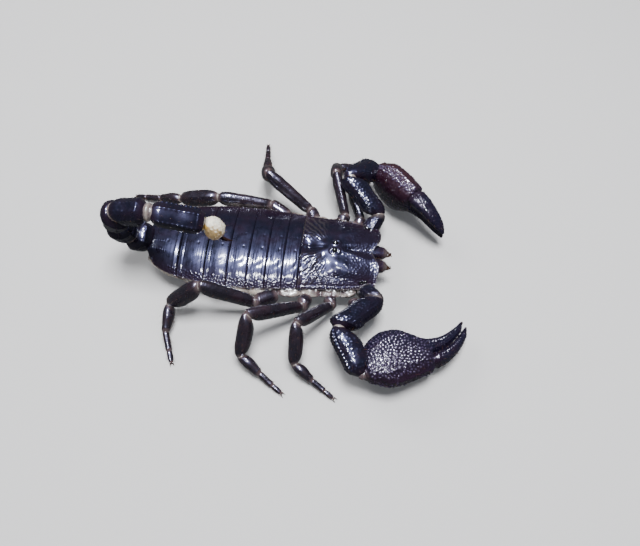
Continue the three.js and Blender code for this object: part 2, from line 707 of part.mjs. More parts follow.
// Origin at the middle of the footprint, on the ground.
const bounds = new THREE.Box3().setFromObject(group);
const middle = bounds.getCenter(new THREE.Vector3());
group.children.forEach((mesh) => mesh.geometry.translate(-middle.x, -middle.y, -bounds.min.z));

export default group;
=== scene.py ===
"""Emperor scorpion, a still life-size model: the finish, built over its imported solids.

Lengths are millimetres until a mesh is made. Each piece follows the CAD nodes that it stands for:
limbs and tail take the solids' rings of corners, back and belly take heights probed on the solids.
+X is the head end, +Y the animal's left, +Z up."""

import itertools
import math

import bpy
import numpy as np
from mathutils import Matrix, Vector
from mathutils.bvhtree import BVHTree
from mathutils.kdtree import KDTree


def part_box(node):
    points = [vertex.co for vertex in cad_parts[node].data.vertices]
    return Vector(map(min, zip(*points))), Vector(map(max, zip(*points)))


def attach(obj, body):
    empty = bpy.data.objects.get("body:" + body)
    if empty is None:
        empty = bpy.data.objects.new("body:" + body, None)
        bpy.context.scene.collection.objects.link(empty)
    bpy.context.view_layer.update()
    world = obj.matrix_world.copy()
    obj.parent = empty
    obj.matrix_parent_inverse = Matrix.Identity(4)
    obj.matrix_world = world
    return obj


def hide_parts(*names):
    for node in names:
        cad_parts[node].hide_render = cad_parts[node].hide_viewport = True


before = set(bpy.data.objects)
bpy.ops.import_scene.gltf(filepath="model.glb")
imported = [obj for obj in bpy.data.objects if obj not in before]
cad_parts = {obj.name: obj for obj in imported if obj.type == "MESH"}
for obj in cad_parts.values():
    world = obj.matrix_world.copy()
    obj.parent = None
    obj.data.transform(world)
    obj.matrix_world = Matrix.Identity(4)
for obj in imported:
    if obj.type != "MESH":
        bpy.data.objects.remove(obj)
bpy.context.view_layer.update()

MM = 0.001
UP = np.array([0.0, 0.0, 1.0])
FORWARD = np.array([1.0, 0.0, 0.0])
ROUND = 2 * math.pi
SIDES = (("left", 1), ("right", -1))
TERGITES = [f"tergite_{i}" for i in range(1, 8)]
SKIN_SPACING = 0.2    # distance between neighbouring points of a skin
FOLDS = 5             # how often a soft skin is folded from pole to pole
RNG = np.random.default_rng(11)


# ---------------------------------------------------------------- small maths

def unit(v):
    return v / np.linalg.norm(v, axis=-1, keepdims=True)


def smoothstep(low, high, x):
    t = np.clip((x - low) / (high - low), 0, 1)
    return t * t * (3 - 2 * t)


def plateau(x, start, full, late, end):
    """1 from `full` to `late`, and smoothly down to 0 at `start` and `end`."""
    return smoothstep(start, full, x) * (1 - smoothstep(late, end, x))


def hump(x, width):
    """A smooth bump, 1 at x = 0 and almost 0 beyond `width` either side."""
    return np.exp(-((x / (0.55 * width)) ** 2))


def beaded(run, pitch):
    """Goes between 0 and 1 along a row of beads."""
    return 0.5 + 0.5 * np.cos(run * ROUND / pitch)


def xyz(x, y, z):
    return np.stack([x, y, z], axis=-1)


def turns(columns):
    """The angles of so many points round a ring."""
    return np.linspace(0, ROUND, columns, endpoint=False)


def angle_gap(angle, place):
    """How far an angle is from a place round the ring."""
    return np.abs((angle - place + math.pi) % ROUND - math.pi)


def curve(x, table):
    """Smooth curve through the table's (place, value) rows."""
    at, value = np.array(sorted(table), float).T
    slope = np.gradient(value, at)
    i = np.clip(np.searchsorted(at, x, side="right") - 1, 0, len(at) - 2)
    span = at[i + 1] - at[i]
    t = np.clip((x - at[i]) / span, 0, 1)
    rise = value[i + 1] - value[i]
    return (value[i] + rise * t * t * (3 - 2 * t)
            + span * slope[i] * t * (1 - t) ** 2 - span * slope[i + 1] * t * t * (1 - t))


def spline(values, t):
    """Smooth path through a stack of values, at places t counted in steps of the stack."""
    last = len(values) - 1
    i = np.clip(np.floor(t).astype(int), 0, last - 1)
    f = (t - i).reshape((-1,) + (1,) * (values.ndim - 1))
    before, a, b, after = (values[np.clip(i + k, 0, last)] for k in (-1, 0, 1, 2))
    return 0.5 * (2 * a + (b - before) * f + (2 * before - 5 * a + 4 * b - after) * f ** 2
                  + (3 * a - before - 3 * b + after) * f ** 3)


def squared(angle, power):
    """Cosine and sine of a superellipse: a circle at power 2, squarer above it."""
    return tuple(np.sign(v) * np.abs(v) ** (2 / power) for v in (np.cos(angle), np.sin(angle)))


def lattice(cell, seed):
    """A repeatable number from 0 to 1 for each whole-number cell, from its place's mixed bits."""
    low_half, all_bits = 0xFFFF, 0xFFFFFFFF
    mixed = cell[..., 0] * 374761393 + cell[..., 1] * 668265263 + cell[..., 2] * 69069
    mixed = (mixed + seed * 362437) & all_bits
    mixed = ((mixed ^ (mixed >> 13)) * 1274126177) & all_bits
    return ((mixed ^ (mixed >> 16)) & low_half) / low_half


def noise(points, size, seed):
    """Smooth noise from -1 to 1 with features about `size` across."""
    place = points / size
    cell = np.floor(place).astype(np.int64)
    part = place - cell
    part = part * part * (3 - 2 * part)
    total = 0
    for corner in itertools.product((0, 1), repeat=3):
        share = np.prod(np.where(corner, part, 1 - part), axis=-1)
        total = total + share * lattice(cell + np.array(corner), seed)
    return total * 2 - 1


# ---------------------------------------------------------------- reading the solids

def box(node):
    low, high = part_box(node)
    return np.array(low) / MM, np.array(high) / MM


def middle(node):
    return sum(box(node)) / 2


def welded(node):
    """A solid's corners and, for each, the corners that it shares an edge with."""
    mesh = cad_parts[node].data
    flat = np.empty(len(mesh.vertices) * 3)
    mesh.vertices.foreach_get("co", flat)
    corners = np.round(flat.reshape(-1, 3) / MM, 3)
    points, index = np.unique(corners, axis=0, return_inverse=True)
    index = index.reshape(-1)
    links = [set() for _ in points]
    for edge in mesh.edges:
        a, b = (index[v] for v in edge.vertices)
        if a != b:
            links[a].add(b)
            links[b].add(a)
    return points, links


def cad_rings(node, near):
    """The rings of corners of a lofted solid, from the end that is nearer to `near`."""
    points, links = welded(node)
    ends = sorted(range(len(points)), key=lambda i: -len(links[i]))[:2]
    first, last = sorted(ends, key=lambda i: np.linalg.norm(points[i] - near))
    seen, layer, rings = {first}, {first}, []
    while True:
        layer = set().union(*(links[i] for i in layer)) - seen
        if not layer or layer == {last}:
            return rings
        seen |= layer
        rings.append(points[sorted(layer)])


def centre(ring):
    return ring.mean(axis=0)


def ring_groups(names, near):
    """The rings of a limb's solids, in order outwards from the place `near`."""
    groups = []
    for name in names:
        groups.append(cad_rings(name, near))
        near = centre(groups[-1][-1])
    return groups


def joint_between(before, after):
    """The middle of the gap between the rings of two neighbouring solids."""
    return (centre(before[-1]) + centre(after[0])) / 2


def solid_tree(nodes):
    """The solids as one tree for rays, in millimetres from ORIGIN."""
    corners, faces = [], []
    for node in nodes:
        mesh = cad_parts[node].data
        start = len(corners)
        corners += [Vector(np.array(v.co) / MM - ORIGIN) for v in mesh.vertices]
        faces += [[start + i for i in face.vertices] for face in mesh.polygons]
    return BVHTree.FromPolygons(corners, faces)


def probe(tree, start, towards):
    """Where a ray from `start` first meets the solids."""
    return np.array(tree.ray_cast(Vector(start), Vector(towards))[0])


# ---------------------------------------------------------------- sheets of skin

class Sheet:
    """A grid of skin points, rows along the part and columns across or around it.

    tone holds three shares for each point: how much it stands up as a granule, how pale it is,
    and how red it is. `wrap` closes the columns into a tube, whose ends are then capped."""

    def __init__(self, points, wrap=True, facing=1):
        self.points = points
        self.wrap = wrap
        self.facing = facing    # an open sheet faces up, or down where this is -1
        self.folded = False     # True on a plate, whose two faces meet at its first and last rows
        self.tone = np.zeros(points.shape)
        self.aim()

    def aim(self):
        along = np.gradient(self.points, axis=0)
        if self.wrap:
            across = np.roll(self.points, -1, 1) - np.roll(self.points, 1, 1)
        else:
            across = np.gradient(self.points, axis=1)
        normal = np.cross(along, across)
        normal /= np.maximum(np.linalg.norm(normal, axis=-1, keepdims=True), 1e-9)
        if self.wrap:
            outward = self.points - self.points.mean(axis=1, keepdims=True)
            inward = (normal * outward).sum() < 0
        else:
            inward = normal[..., 2].sum() * self.facing < 0
        self.normal = -normal if inward else normal

    def lift(self, height):
        """Moves the points along their normals."""
        height = np.broadcast_to(height, self.points.shape[:2])
        self.points = self.points + self.normal * height[..., None]

    def tint(self, channel, amount):
        share = np.broadcast_to(amount, self.points.shape[:2])
        self.tone[..., channel] = np.clip(self.tone[..., channel] + share, 0, 1)

    def measured(self, u, *ends):
        """Notes each point's share of the length, its angle, and a share that fades at the ends."""
        angle = turns(self.points.shape[1])[None]
        self.u, self.angle = u + 0 * angle, angle + 0 * u
        self.inside = plateau(self.u, *ends)
        return self


def scatter(points, spacing, where):
    """Picks points that lie at least `spacing` apart, in the places where `where` allows."""
    chosen, buckets = [], {}
    candidates = RNG.permutation(np.nonzero(where > 0)[0])
    keys = np.floor(points / spacing).astype(int)
    keep = RNG.random(len(points)) < where
    near = list(itertools.product((-1, 0, 1), repeat=3))
    for i in candidates[keep[candidates]]:
        x, y, z = keys[i]
        others = [j for dx, dy, dz in near for j in buckets.get((x + dx, y + dy, z + dz), ())]
        if others:
            gaps = ((points[others] - points[i]) ** 2).sum(axis=1)
            if gaps.min() < spacing ** 2:
                continue
        buckets.setdefault((x, y, z), []).append(i)
        chosen.append(i)
    return np.array(chosen, int)


def granulate(sheet, spacing, height, where, fill=0.62, mark=1.0):
    """Raises rounded granules, about `spacing` apart and `fill` of that in radius, on a sheet."""
    shape = sheet.points.shape[:2]
    flat = sheet.points.reshape(-1, 3)
    where = np.broadcast_to(where, shape).reshape(-1)
    picked = scatter(flat, spacing, where)
    if not len(picked):
        return
    tree = KDTree(len(flat))
    for i, point in enumerate(flat):
        tree.insert(point, i)
    tree.balance()
    field = np.zeros(len(flat))
    sizes = fill * spacing * (0.8 + 0.4 * RNG.random(len(picked)))
    for i, size in zip(picked, sizes):
        for _, j, gap in tree.find_range(flat[i], size):
            field[j] = max(field[j], size / (fill * spacing) * (1 - (gap / size) ** 2) ** 0.8)
    field = field.reshape(shape)
    sheet.lift(height * field)
    sheet.tint(0, mark * field)


def tube(path, side, up, wide, tall, columns, power=2.0):
    """A sheet round a path: `wide` and `tall` are its half sizes along `side` and `up`."""
    cos, sin = squared(turns(columns)[None], power)
    return Sheet(path[:, None] + (cos * wide)[..., None] * side + (sin * tall)[..., None] * up)


def ball(mid, axes, sizes, grid, *, low=-0.49, power=0.7, crease=0.0, folds=FOLDS, twist=0.0):
    """A ball or bag with its poles on the third axis, and the angles of its rows from pole to pole.
    Folds of depth `crease` run across that axis."""
    side, up, way = axes
    wide, tall, long = sizes
    angle = turns(grid[1])[None, :, None]
    rise = np.linspace(low, min(-low, 0.49), grid[0])[:, None, None] * math.pi
    folded = 1 + crease * np.sin(rise * 2 * folds + twist * np.sin(3 * angle))
    round_it = np.cos(angle) * wide * side + np.sin(angle) * tall * up
    sheet = Sheet(mid + way * np.sin(rise) * long + np.cos(rise) ** power * folded * round_it)
    return sheet, rise[..., 0]


# ---------------------------------------------------------------- meshes and pieces

def sheet_faces(sheet, start):
    """A sheet's faces, counting its points from `start`, and the poles that cap a tube's ends."""
    rows, columns = sheet.points.shape[:2]
    index = start + np.arange(rows * columns).reshape(rows, columns)
    right = np.roll(index, -1, 1) if sheet.wrap else index[:, 1:]
    left = index if sheet.wrap else index[:, :-1]
    quads = np.stack([left[:-1], right[:-1], right[1:], left[1:]], axis=-1).reshape(-1, 4)
    poles = []
    if sheet.folded:
        mirror = {int(a): int(b) for row in (index[0], index[-1])
                  for a, b in zip(row[columns // 2:], row[:columns // 2][::-1])}
        joined = [list(dict.fromkeys(mirror.get(i, i) for i in quad)) for quad in quads.tolist()]
        return [face for face in joined if len(face) > 2], poles
    faces = quads.tolist()
    if sheet.wrap:
        for row, turn in ((0, 1), (rows - 1, 0)):
            pole = start + rows * columns + len(poles)
            poles.append(centre(sheet.points[row]))
            for a, b in zip(index[row], np.roll(index[row], -1)):
                faces.append([int(b), int(a), pole] if turn else [int(a), int(b), pole])
    return faces, poles


def signed_volume(points, faces):
    """Six times the volume that the faces enclose, below zero where they face inwards."""
    corners = np.array([(face[0], face[k], face[k + 1]) for face in faces
                        for k in range(1, len(face) - 1)])
    a, b, c = (points[corners[:, k]] for k in range(3))
    return (a * np.cross(b, c)).sum()


def make_mesh(name, corners, faces):
    """A smooth mesh from corners in millimetres, none of them below the floor."""
    corners[:, 2] = np.maximum(corners[:, 2], 0)
    mesh = bpy.data.meshes.new(name)
    mesh.from_pydata((corners * MM).tolist(), [], faces)
    mesh.polygons.foreach_set("use_smooth", [True] * len(mesh.polygons))
    return mesh


def make_piece(name, mesh, material):
    mesh.materials.append(material)
    piece = bpy.data.objects.new(name, mesh)
    bpy.context.scene.collection.objects.link(piece)
    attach(piece, "root")
    return piece


def add_piece(name, sheets, material, slot, *nodes):
    """Joins sheets, with their tones, into one piece that stands for the solids `nodes`."""
    corners, faces, tones = [], [], []
    start = 0
    for sheet in sheets:
        own, poles = sheet_faces(sheet, start)
        flat = sheet.points.reshape(-1, 3)
        tone = sheet.tone.reshape(-1, 3)
        if poles:
            columns = sheet.points.shape[1]
            tone = np.vstack([tone, tone[:columns].mean(axis=0), tone[-columns:].mean(axis=0)])
            flat = np.vstack([flat, poles])
        local = [[i - start for i in face] for face in own]
        if signed_volume(flat - flat.mean(axis=0), local) < 0:
            own = [face[::-1] for face in own]
        corners.append(flat)
        tones.append(tone)
        faces += own
        start += len(flat)
    mesh = make_mesh(name, np.vstack(corners), faces)
    mesh.attributes.new("tone", "FLOAT_VECTOR", "POINT")
    mesh.attributes["tone"].data.foreach_set("vector", np.vstack(tones).ravel())
    mesh.update()
    piece = make_piece(name, mesh, material)
    if nodes:
        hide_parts(*nodes)


# ---------------------------------------------------------------- materials

def node(tree, kind, place, inputs=(), **values):
    """A new shader node: `inputs` are (socket, value) pairs and `values` its settings."""
    made = tree.nodes.new(kind)
    made.location = place
    for key, value in values.items():
        setattr(made, key, value)
    for socket, value in inputs:
        made.inputs[socket].default_value = value
    return made


def math_node(tree, place, operation, *sources):
    made = node(tree, "ShaderNodeMath", place, operation=operation)
    for source, socket in zip(sources, made.inputs):
        tree.links.new(source, socket)
    return made.outputs[0]


def noise_node(tree, place, space, size, detail, rough=0.55):
    """Noise with features of about `size` mm, in the coordinates `space`."""
    made = node(tree, "ShaderNodeTexNoise", place, inputs=(
        ("Scale", 1 / (size * MM)), ("Detail", detail), ("Roughness", rough)))
    tree.links.new(space, made.inputs["Vector"])
    return made.outputs[0]


def mix_node(tree, place, factor, a, b):
    mix = node(tree, "ShaderNodeMix", place, data_type="RGBA")
    for socket, value in ((0, factor), (6, a), (7, b)):      # the colour sockets of a Mix node
        if isinstance(value, bpy.types.NodeSocket):
            tree.links.new(value, mix.inputs[socket])
        else:
            mix.inputs[socket].default_value = value
    return mix.outputs[2]


def ramp(tree, place, source, *ends):
    """Maps a value from ends[:2] to ends[2:], or to 0 and 1 where those aren't given."""
    made = node(tree, "ShaderNodeMapRange", place, inputs=enumerate(ends, 1))
    tree.links.new(source, made.inputs[0])
    return made.outputs[0]


def horn(name, dark, warm, pale, tip, *, gloss, bump=0.3, grain=0.35, patch=4.0, blotch=0.45,
         dull=0.0, coat=0.5, coat_rough=0.07, ior=1.56, sheen=0.5, tint=(1, 1, 1, 1),
         scatter_light=0.0):
    """Polished or dull horny skin: dark where smooth, `warm` in patches and where the mesh says
    red, `pale` at the joints and `tip` on the granules; on some pieces the mesh's pale and red
    shares also carry painted highlight and shade. `gloss` is its least and most roughness,
    and it is rougher by `dull` where it is red. `grain` and `patch` are sizes in millimetres."""
    material = bpy.data.materials.new(name)
    material.use_nodes = True
    tree = material.node_tree
    shader = tree.nodes["Principled BSDF"]
    link = tree.links.new
    space = node(tree, "ShaderNodeTexCoord", (-1500, 0)).outputs["Object"]
    tone = node(tree, "ShaderNodeAttribute", (-1500, 300), attribute_name="tone")
    split = node(tree, "ShaderNodeSeparateXYZ", (-1300, 300))
    link(tone.outputs["Vector"], split.inputs[0])
    stands, pales, reds = split.outputs
    patches = noise_node(tree, (-1300, 0), space, patch, 4)
    grains = noise_node(tree, (-1300, -250), space, grain, 4, 0.65)
    streaks = noise_node(tree, (-1300, -500), space, grain * 5, 3)
    worn = ramp(tree, (-1050, 0), patches, 0.42, 0.68)
    blotches = ramp(tree, (-1200, 150), worn, 0, 1, 0, blotch)
    redness = math_node(tree, (-1050, 200), "MAXIMUM", blotches, reds)
    colour = mix_node(tree, (-850, 200), redness, dark, warm)
    raised = ramp(tree, (-850, 400), stands, 0.4, 1.0, 0, 0.9)
    colour = mix_node(tree, (-650, 200), raised, colour, tip)
    uneven = ramp(tree, (-850, 550), grains, 0.3, 0.6, 0.72, 1.0)
    mottled = math_node(tree, (-650, 450), "MULTIPLY", pales, uneven)
    colour = mix_node(tree, (-450, 200), mottled, colour, pale)
    link(colour, shader.inputs["Base Color"])
    worn_rough = ramp(tree, (-450, -100), streaks, 0.35, 0.65, *gloss)
    red_rough = ramp(tree, (-450, -350), reds, 0, 1, 0, dull)
    rough = math_node(tree, (-250, -100), "ADD", worn_rough, red_rough)
    link(rough, shader.inputs["Roughness"])
    bumps = node(tree, "ShaderNodeBump", (-250, -300), inputs=(
        ("Strength", bump), ("Distance", 0.08 * MM)))
    link(grains, bumps.inputs["Height"])
    link(bumps.outputs[0], shader.inputs["Normal"])
    for socket, value in (("Coat Weight", coat), ("Coat Roughness", coat_rough), ("IOR", ior),
                          ("Specular IOR Level", sheen), ("Specular Tint", tint),
                          ("Subsurface Weight", scatter_light)):
        shader.inputs[socket].default_value = value
    if scatter_light:
        shader.inputs["Subsurface Radius"].default_value = (0.8 * MM, 0.5 * MM, 0.35 * MM)
        shader.inputs["Subsurface Scale"].default_value = 1.0
    return material


def rgb(*value):
    return (*value, 1)


SHELL = horn("black_shell", rgb(0.0035, 0.0035, 0.009), rgb(0.015, 0.006, 0.013),
             rgb(0.26, 0.22, 0.19), rgb(0.012, 0.012, 0.028), ior=1.54, sheen=0.27,
             tint=rgb(0.5, 0.52, 1.0), gloss=(0.26, 0.38), coat=0.85, coat_rough=0.1, bump=0.12)
HAND = horn("pincer_shell", rgb(0.006, 0.005, 0.016), rgb(0.026, 0.004, 0.007),
            rgb(0.30, 0.2, 0.15), rgb(0.05, 0.036, 0.075), tint=rgb(0.85, 0.78, 1.0), ior=1.6,
            sheen=0.35, gloss=(0.2, 0.32), coat=0.6, bump=0.12, blotch=0.18, dull=0.1)
LEG = horn("leg_shell", rgb(0.007, 0.005, 0.008), rgb(0.028, 0.011, 0.015),
           rgb(0.34, 0.25, 0.24), rgb(0.03, 0.02, 0.025), tint=rgb(0.7, 0.68, 1.0), ior=1.6,
           sheen=0.6, gloss=(0.24, 0.36), coat=1.0, coat_rough=0.1, bump=0.15)
BELLY = horn("belly_shell", rgb(0.030, 0.014, 0.010), rgb(0.075, 0.032, 0.018),
             rgb(0.45, 0.33, 0.2), rgb(0.16, 0.09, 0.06), gloss=(0.22, 0.42))
SOFT = horn("joint_skin", rgb(0.06, 0.045, 0.052), rgb(0.10, 0.06, 0.065), rgb(0.70, 0.63, 0.54),
            rgb(0.5, 0.42, 0.36), gloss=(0.2, 0.4), bump=0.5, grain=0.3, coat=0.5,
            coat_rough=0.12, ior=1.48, scatter_light=0.2)
VESICLE = horn("vesicle_skin", rgb(0.78, 0.68, 0.48), rgb(0.42, 0.25, 0.06),
               rgb(0.92, 0.88, 0.76), rgb(0.62, 0.45, 0.24), gloss=(0.26, 0.42), patch=3.0,
               blotch=0.2, coat=0.5, coat_rough=0.12, ior=1.5, scatter_light=0.12)
STING = horn("sting_horn", rgb(0.010, 0.004, 0.004), rgb(0.05, 0.016, 0.008), rgb(0.2, 0.08, 0.03),
             rgb(0.1, 0.05, 0.03), gloss=(0.12, 0.25))
CLAW = horn("claw_horn", rgb(0.035, 0.014, 0.008), rgb(0.14, 0.055, 0.02), rgb(0.4, 0.22, 0.1),
            rgb(0.1, 0.05, 0.03), gloss=(0.15, 0.3))
EYE = horn("eye_lens", rgb(0.003, 0.003, 0.005), rgb(0.006, 0.004, 0.006), rgb(0.05, 0.04, 0.03),
           rgb(0.02, 0.02, 0.02), gloss=(0.04, 0.08), bump=0.0, coat=1.0, coat_rough=0.02,
           ior=1.6)
HAIR = horn("bristle", rgb(0.075, 0.028, 0.014), rgb(0.16, 0.07, 0.03), rgb(0.3, 0.16, 0.08),
            rgb(0.12, 0.06, 0.03), gloss=(0.35, 0.5), bump=0.0, coat=0.0, ior=1.5)


# ---------------------------------------------------------------- back and head shield

SHIELD_LOW, SHIELD_HIGH = box("carapace")
GAP = 0.3                                # between neighbouring solids
ORIGIN = np.array([SHIELD_LOW[0] - GAP / 2, (SHIELD_LOW[1] + SHIELD_HIGH[1]) / 2, 0.0])
BACK_TREE = solid_tree(["carapace", *TERGITES])
TAIL_ROOT = box("tergite_7")[0][0] - ORIGIN[0]
EDGE = box("tergite_3")[0][2]            # height of the back plates' side edges
ARCH_POWER = 2.5                         # the cross-section of the back
SHIELD_LENGTH = SHIELD_HIGH[0] - ORIGIN[0]
FAR = 60.0                               # a distance that is clear of the trunk, for rays


def probe_back():
    """Half width and crest height of the back at places along it."""
    widths, crests = [], []
    plates = [middle(name)[0] - ORIGIN[0] for name in TERGITES]
    inboard, above = 5.5, 0.6
    for x in [TAIL_ROOT + 0.4, *plates, *np.linspace(0.6, SHIELD_LENGTH - 2.4, 6)]:
        top = probe(BACK_TREE, (x, inboard, FAR), (0, 0, -1))[2]
        flank = probe(BACK_TREE, (x, FAR, EDGE + above), (0, -1, 0))[1]
        reach = flank
        for _ in range(4):
            crest = EDGE + (top - EDGE) / (1 - (inboard / reach) ** ARCH_POWER)
            reach = flank / (1 - above / (crest - EDGE)) ** (1 / ARCH_POWER)
        widths.append((x, reach))
        crests.append((x, crest))
    return widths, crests


WIDTHS, CRESTS = probe_back()


def half_width(x):
    return curve(x, WIDTHS)


def back_height(x, y):
    """Height of the plain arch of the back."""
    share = np.clip(np.abs(y) / half_width(x), 0, 1)
    return EDGE + (curve(x, CRESTS) - EDGE) * (1 - share ** ARCH_POWER)


def probe_front(y):
    """How far forward the head shield reaches at a distance from the middle line."""
    inside = back_height(SHIELD_LENGTH - 1, y) - 0.8
    return probe(BACK_TREE, (FAR, y, float(inside)), (-1, 0, 0))[0]


FRONT_REACH = 7.4     # how far the front edge is probed, either side of the middle line
FRONT_EDGE = [(y, probe_front(y)) for y in np.linspace(-FRONT_REACH, FRONT_REACH, 13)]


def close_plate(outer, thickness):
    """Joins an outer sheet to an inner copy of itself, so that the plate is a closed solid."""
    inner = outer.points - outer.normal * thickness
    columns = outer.points.shape[1]
    loop = Sheet(np.concatenate([outer.points, inner[:, ::-1]], axis=1))
    loop.folded = True
    loop.tone = np.concatenate([outer.tone, outer.tone[:, ::-1]], axis=1)
    first, last = loop.points[:1].copy(), loop.points[-1:].copy()
    for end in (first, last):
        flat = (end[0, :columns] + end[0, columns:][::-1]) / 2
        end[0, :columns] = flat
        end[0, columns:] = flat[::-1]
    loop.points = np.concatenate([first, loop.points, last])
    loop.tone = np.concatenate([loop.tone[:1], loop.tone, loop.tone[-1:]])
    return loop


def placed(sheet):
    """Moves a sheet from the back's own coordinates to the frame's."""
    sheet.points = sheet.points + ORIGIN
    return sheet


def across(columns):
    """Shares from -1 to 1 across a plate, closer together towards its edges."""
    return np.sin(np.linspace(-0.5, 0.5, columns) * math.pi)[None]


PLATE_THICKNESS = 0.5
PLATE_SPACING = 0.13  # distance between a back plate's rows of points
TUCK = 1.1            # how far a plate's front slides under the plate ahead
OVERHANG = 0.35       # how far its rear edge covers the plate behind
PITS = 2.25           # muscle pits, from the middle line
BRUSHED = (0.034, 0.034, 0.03, 0.018, 0.01, 0.008, 0.008)     # height of each plate's fine wrinkles


def tergite(number):
    """A back plate: its front slides under the plate ahead and the last one carries keels."""
    low, high = box(f"tergite_{number}")
    front, rear = high[0] - ORIGIN[0], low[0] - ORIGIN[0]
    last = number == 7
    start = front + GAP / 2 + TUCK
    stop = rear - GAP / 2 - (0 if last else OVERHANG)
    rows = round((start - stop) / PLATE_SPACING)
    x = np.linspace(start, stop, rows)[:, None]
    y = across(170) * half_width(np.minimum(x, 0))
    x = x + 0 * y
    u = (front - x) / (front - rear)
    side = np.abs(y) / half_width(x)
    if last:                                  # its rear corners are rounded off
        x = x + 2.0 * smoothstep(0.75, 1.0, u) * side ** 5
    height = back_height(x, y)
    sunk = 1 - smoothstep(0.0, 0.09, u)
    height -= 0.62 * sunk
    height += 0.27 * np.sin(math.pi * np.clip((u - 0.05) / 0.95, 0, 1)) * (1 - side ** 4)
    height += (0.0 if last else 0.12) * smoothstep(0.8, 1.0, u)
    height += 0.05 * hump(u - 0.16, 0.06) * (1 - side ** 6)
    height -= 0.07 * hump(u - 0.9, 0.05) * (0 if last else 1)
    for sign in (1, -1):
        away = np.hypot((u - 0.42) * (front - rear), y - sign * PITS)
        height -= 0.08 * hump(away, 0.6)
        slant = (y - sign * (6.4 + 3.0 * u)) * 0.8
        height -= 0.08 * hump(slant, 1.2) * plateau(u, 0.15, 0.4, 0.75, 0.95)
    points = xyz(x, y, height)
    waves = noise(points * np.array([4.2, 0.4, 1.0]), 1.0, number)
    height += BRUSHED[number - 1] * waves * (1 - sunk)
    height += 0.018 * noise(points, 2.4, number + 20)
    sheet = Sheet(xyz(x, y, height), wrap=False)
    if last:
        for place in (2.4, 5.4):
            keel = hump(np.abs(y) - place * (1.15 - 0.3 * u), 0.5) * smoothstep(0.35, 0.6, u)
            beads = beaded(x, 0.75)
            sheet.lift(0.07 * keel * beads * (1 - smoothstep(0.93, 1.0, u)))
            sheet.tint(0, 0.3 * keel * beads)
    edge = smoothstep(0.82, 0.97, side) * (1 - sunk)
    granulate(sheet, 0.6, 0.06, 0.7 * edge, mark=0.3)
    seam = 0.5 * smoothstep(0.3, 1.5, y) if number == 1 else 0.02
    sheet.tint(1, seam * sunk + 0.25 * smoothstep(0.975, 1.0, side))
    sheet.tint(2, 0.7 * smoothstep(0.5, 1.0, side))
    sheet.aim()
    return placed(close_plate(sheet, PLATE_THICKNESS))


EYE_PLACE = (middle("eye_median_left") + middle("eye_median_right")) / 2 - ORIGIN
EYE_SIDE = abs(middle("eye_median_left")[1] - middle("eye_median_right")[1]) / 2


def shield_relief(x, y):
    """Furrows, lobes and eye mound of the head shield, above the plain arch."""
    away = np.abs(y)
    ex = EYE_PLACE[0]
    mound = 0.6 * hump(np.hypot((x - ex) * 0.8, y), 4.4)
    brow = 0.16 * hump(np.hypot((x - ex) / 1.5, away - EYE_SIDE - 0.1) - 0.95, 0.45)
    brow *= 1 - smoothstep(1.6, 2.6, np.abs(x - ex))
    ahead = smoothstep(ex + 1.6, ex + 4.2, x)
    widening = 0.55 + 0.9 * smoothstep(ex + 3, SHIELD_LENGTH, x)
    trough = 0.7 * ahead * hump(y, 2.6 * widening)
    banks = 0.1 * ahead * hump(away - 2.5 * widening, 1.8)
    behind = 1 - smoothstep(ex - 3.8, ex - 2.0, x)
    groove = 0.4 * behind * hump(y, 1.2)
    hollow = 0.7 * hump((x - 2.0) / 1.3, 2.6) * hump(y, 4.2)
    bend = x - (6.8 - 0.055 * away ** 2)
    arc = 0.26 * hump(bend, 1.7) * plateau(away, 1.4, 3.4, 8.5, 11.0)
    lobe = 0.5 * hump(np.hypot((x - 4.0) / 1.2, away - 4.8), 4.6)
    shoulder = 0.5 * hump(away - 5.2 - 0.36 * (x - ex), 4.2) * smoothstep(ex - 2.5, ex + 1.5, x)
    shoulder *= 1 - smoothstep(ex + 9.5, ex + 13.0, x)
    side_dip = 0.18 * hump(away - 9.3, 2.0) * smoothstep(ex - 3, ex, x)
    return mound + brow - trough + banks - groove - hollow - arc + lobe + shoulder - side_dip


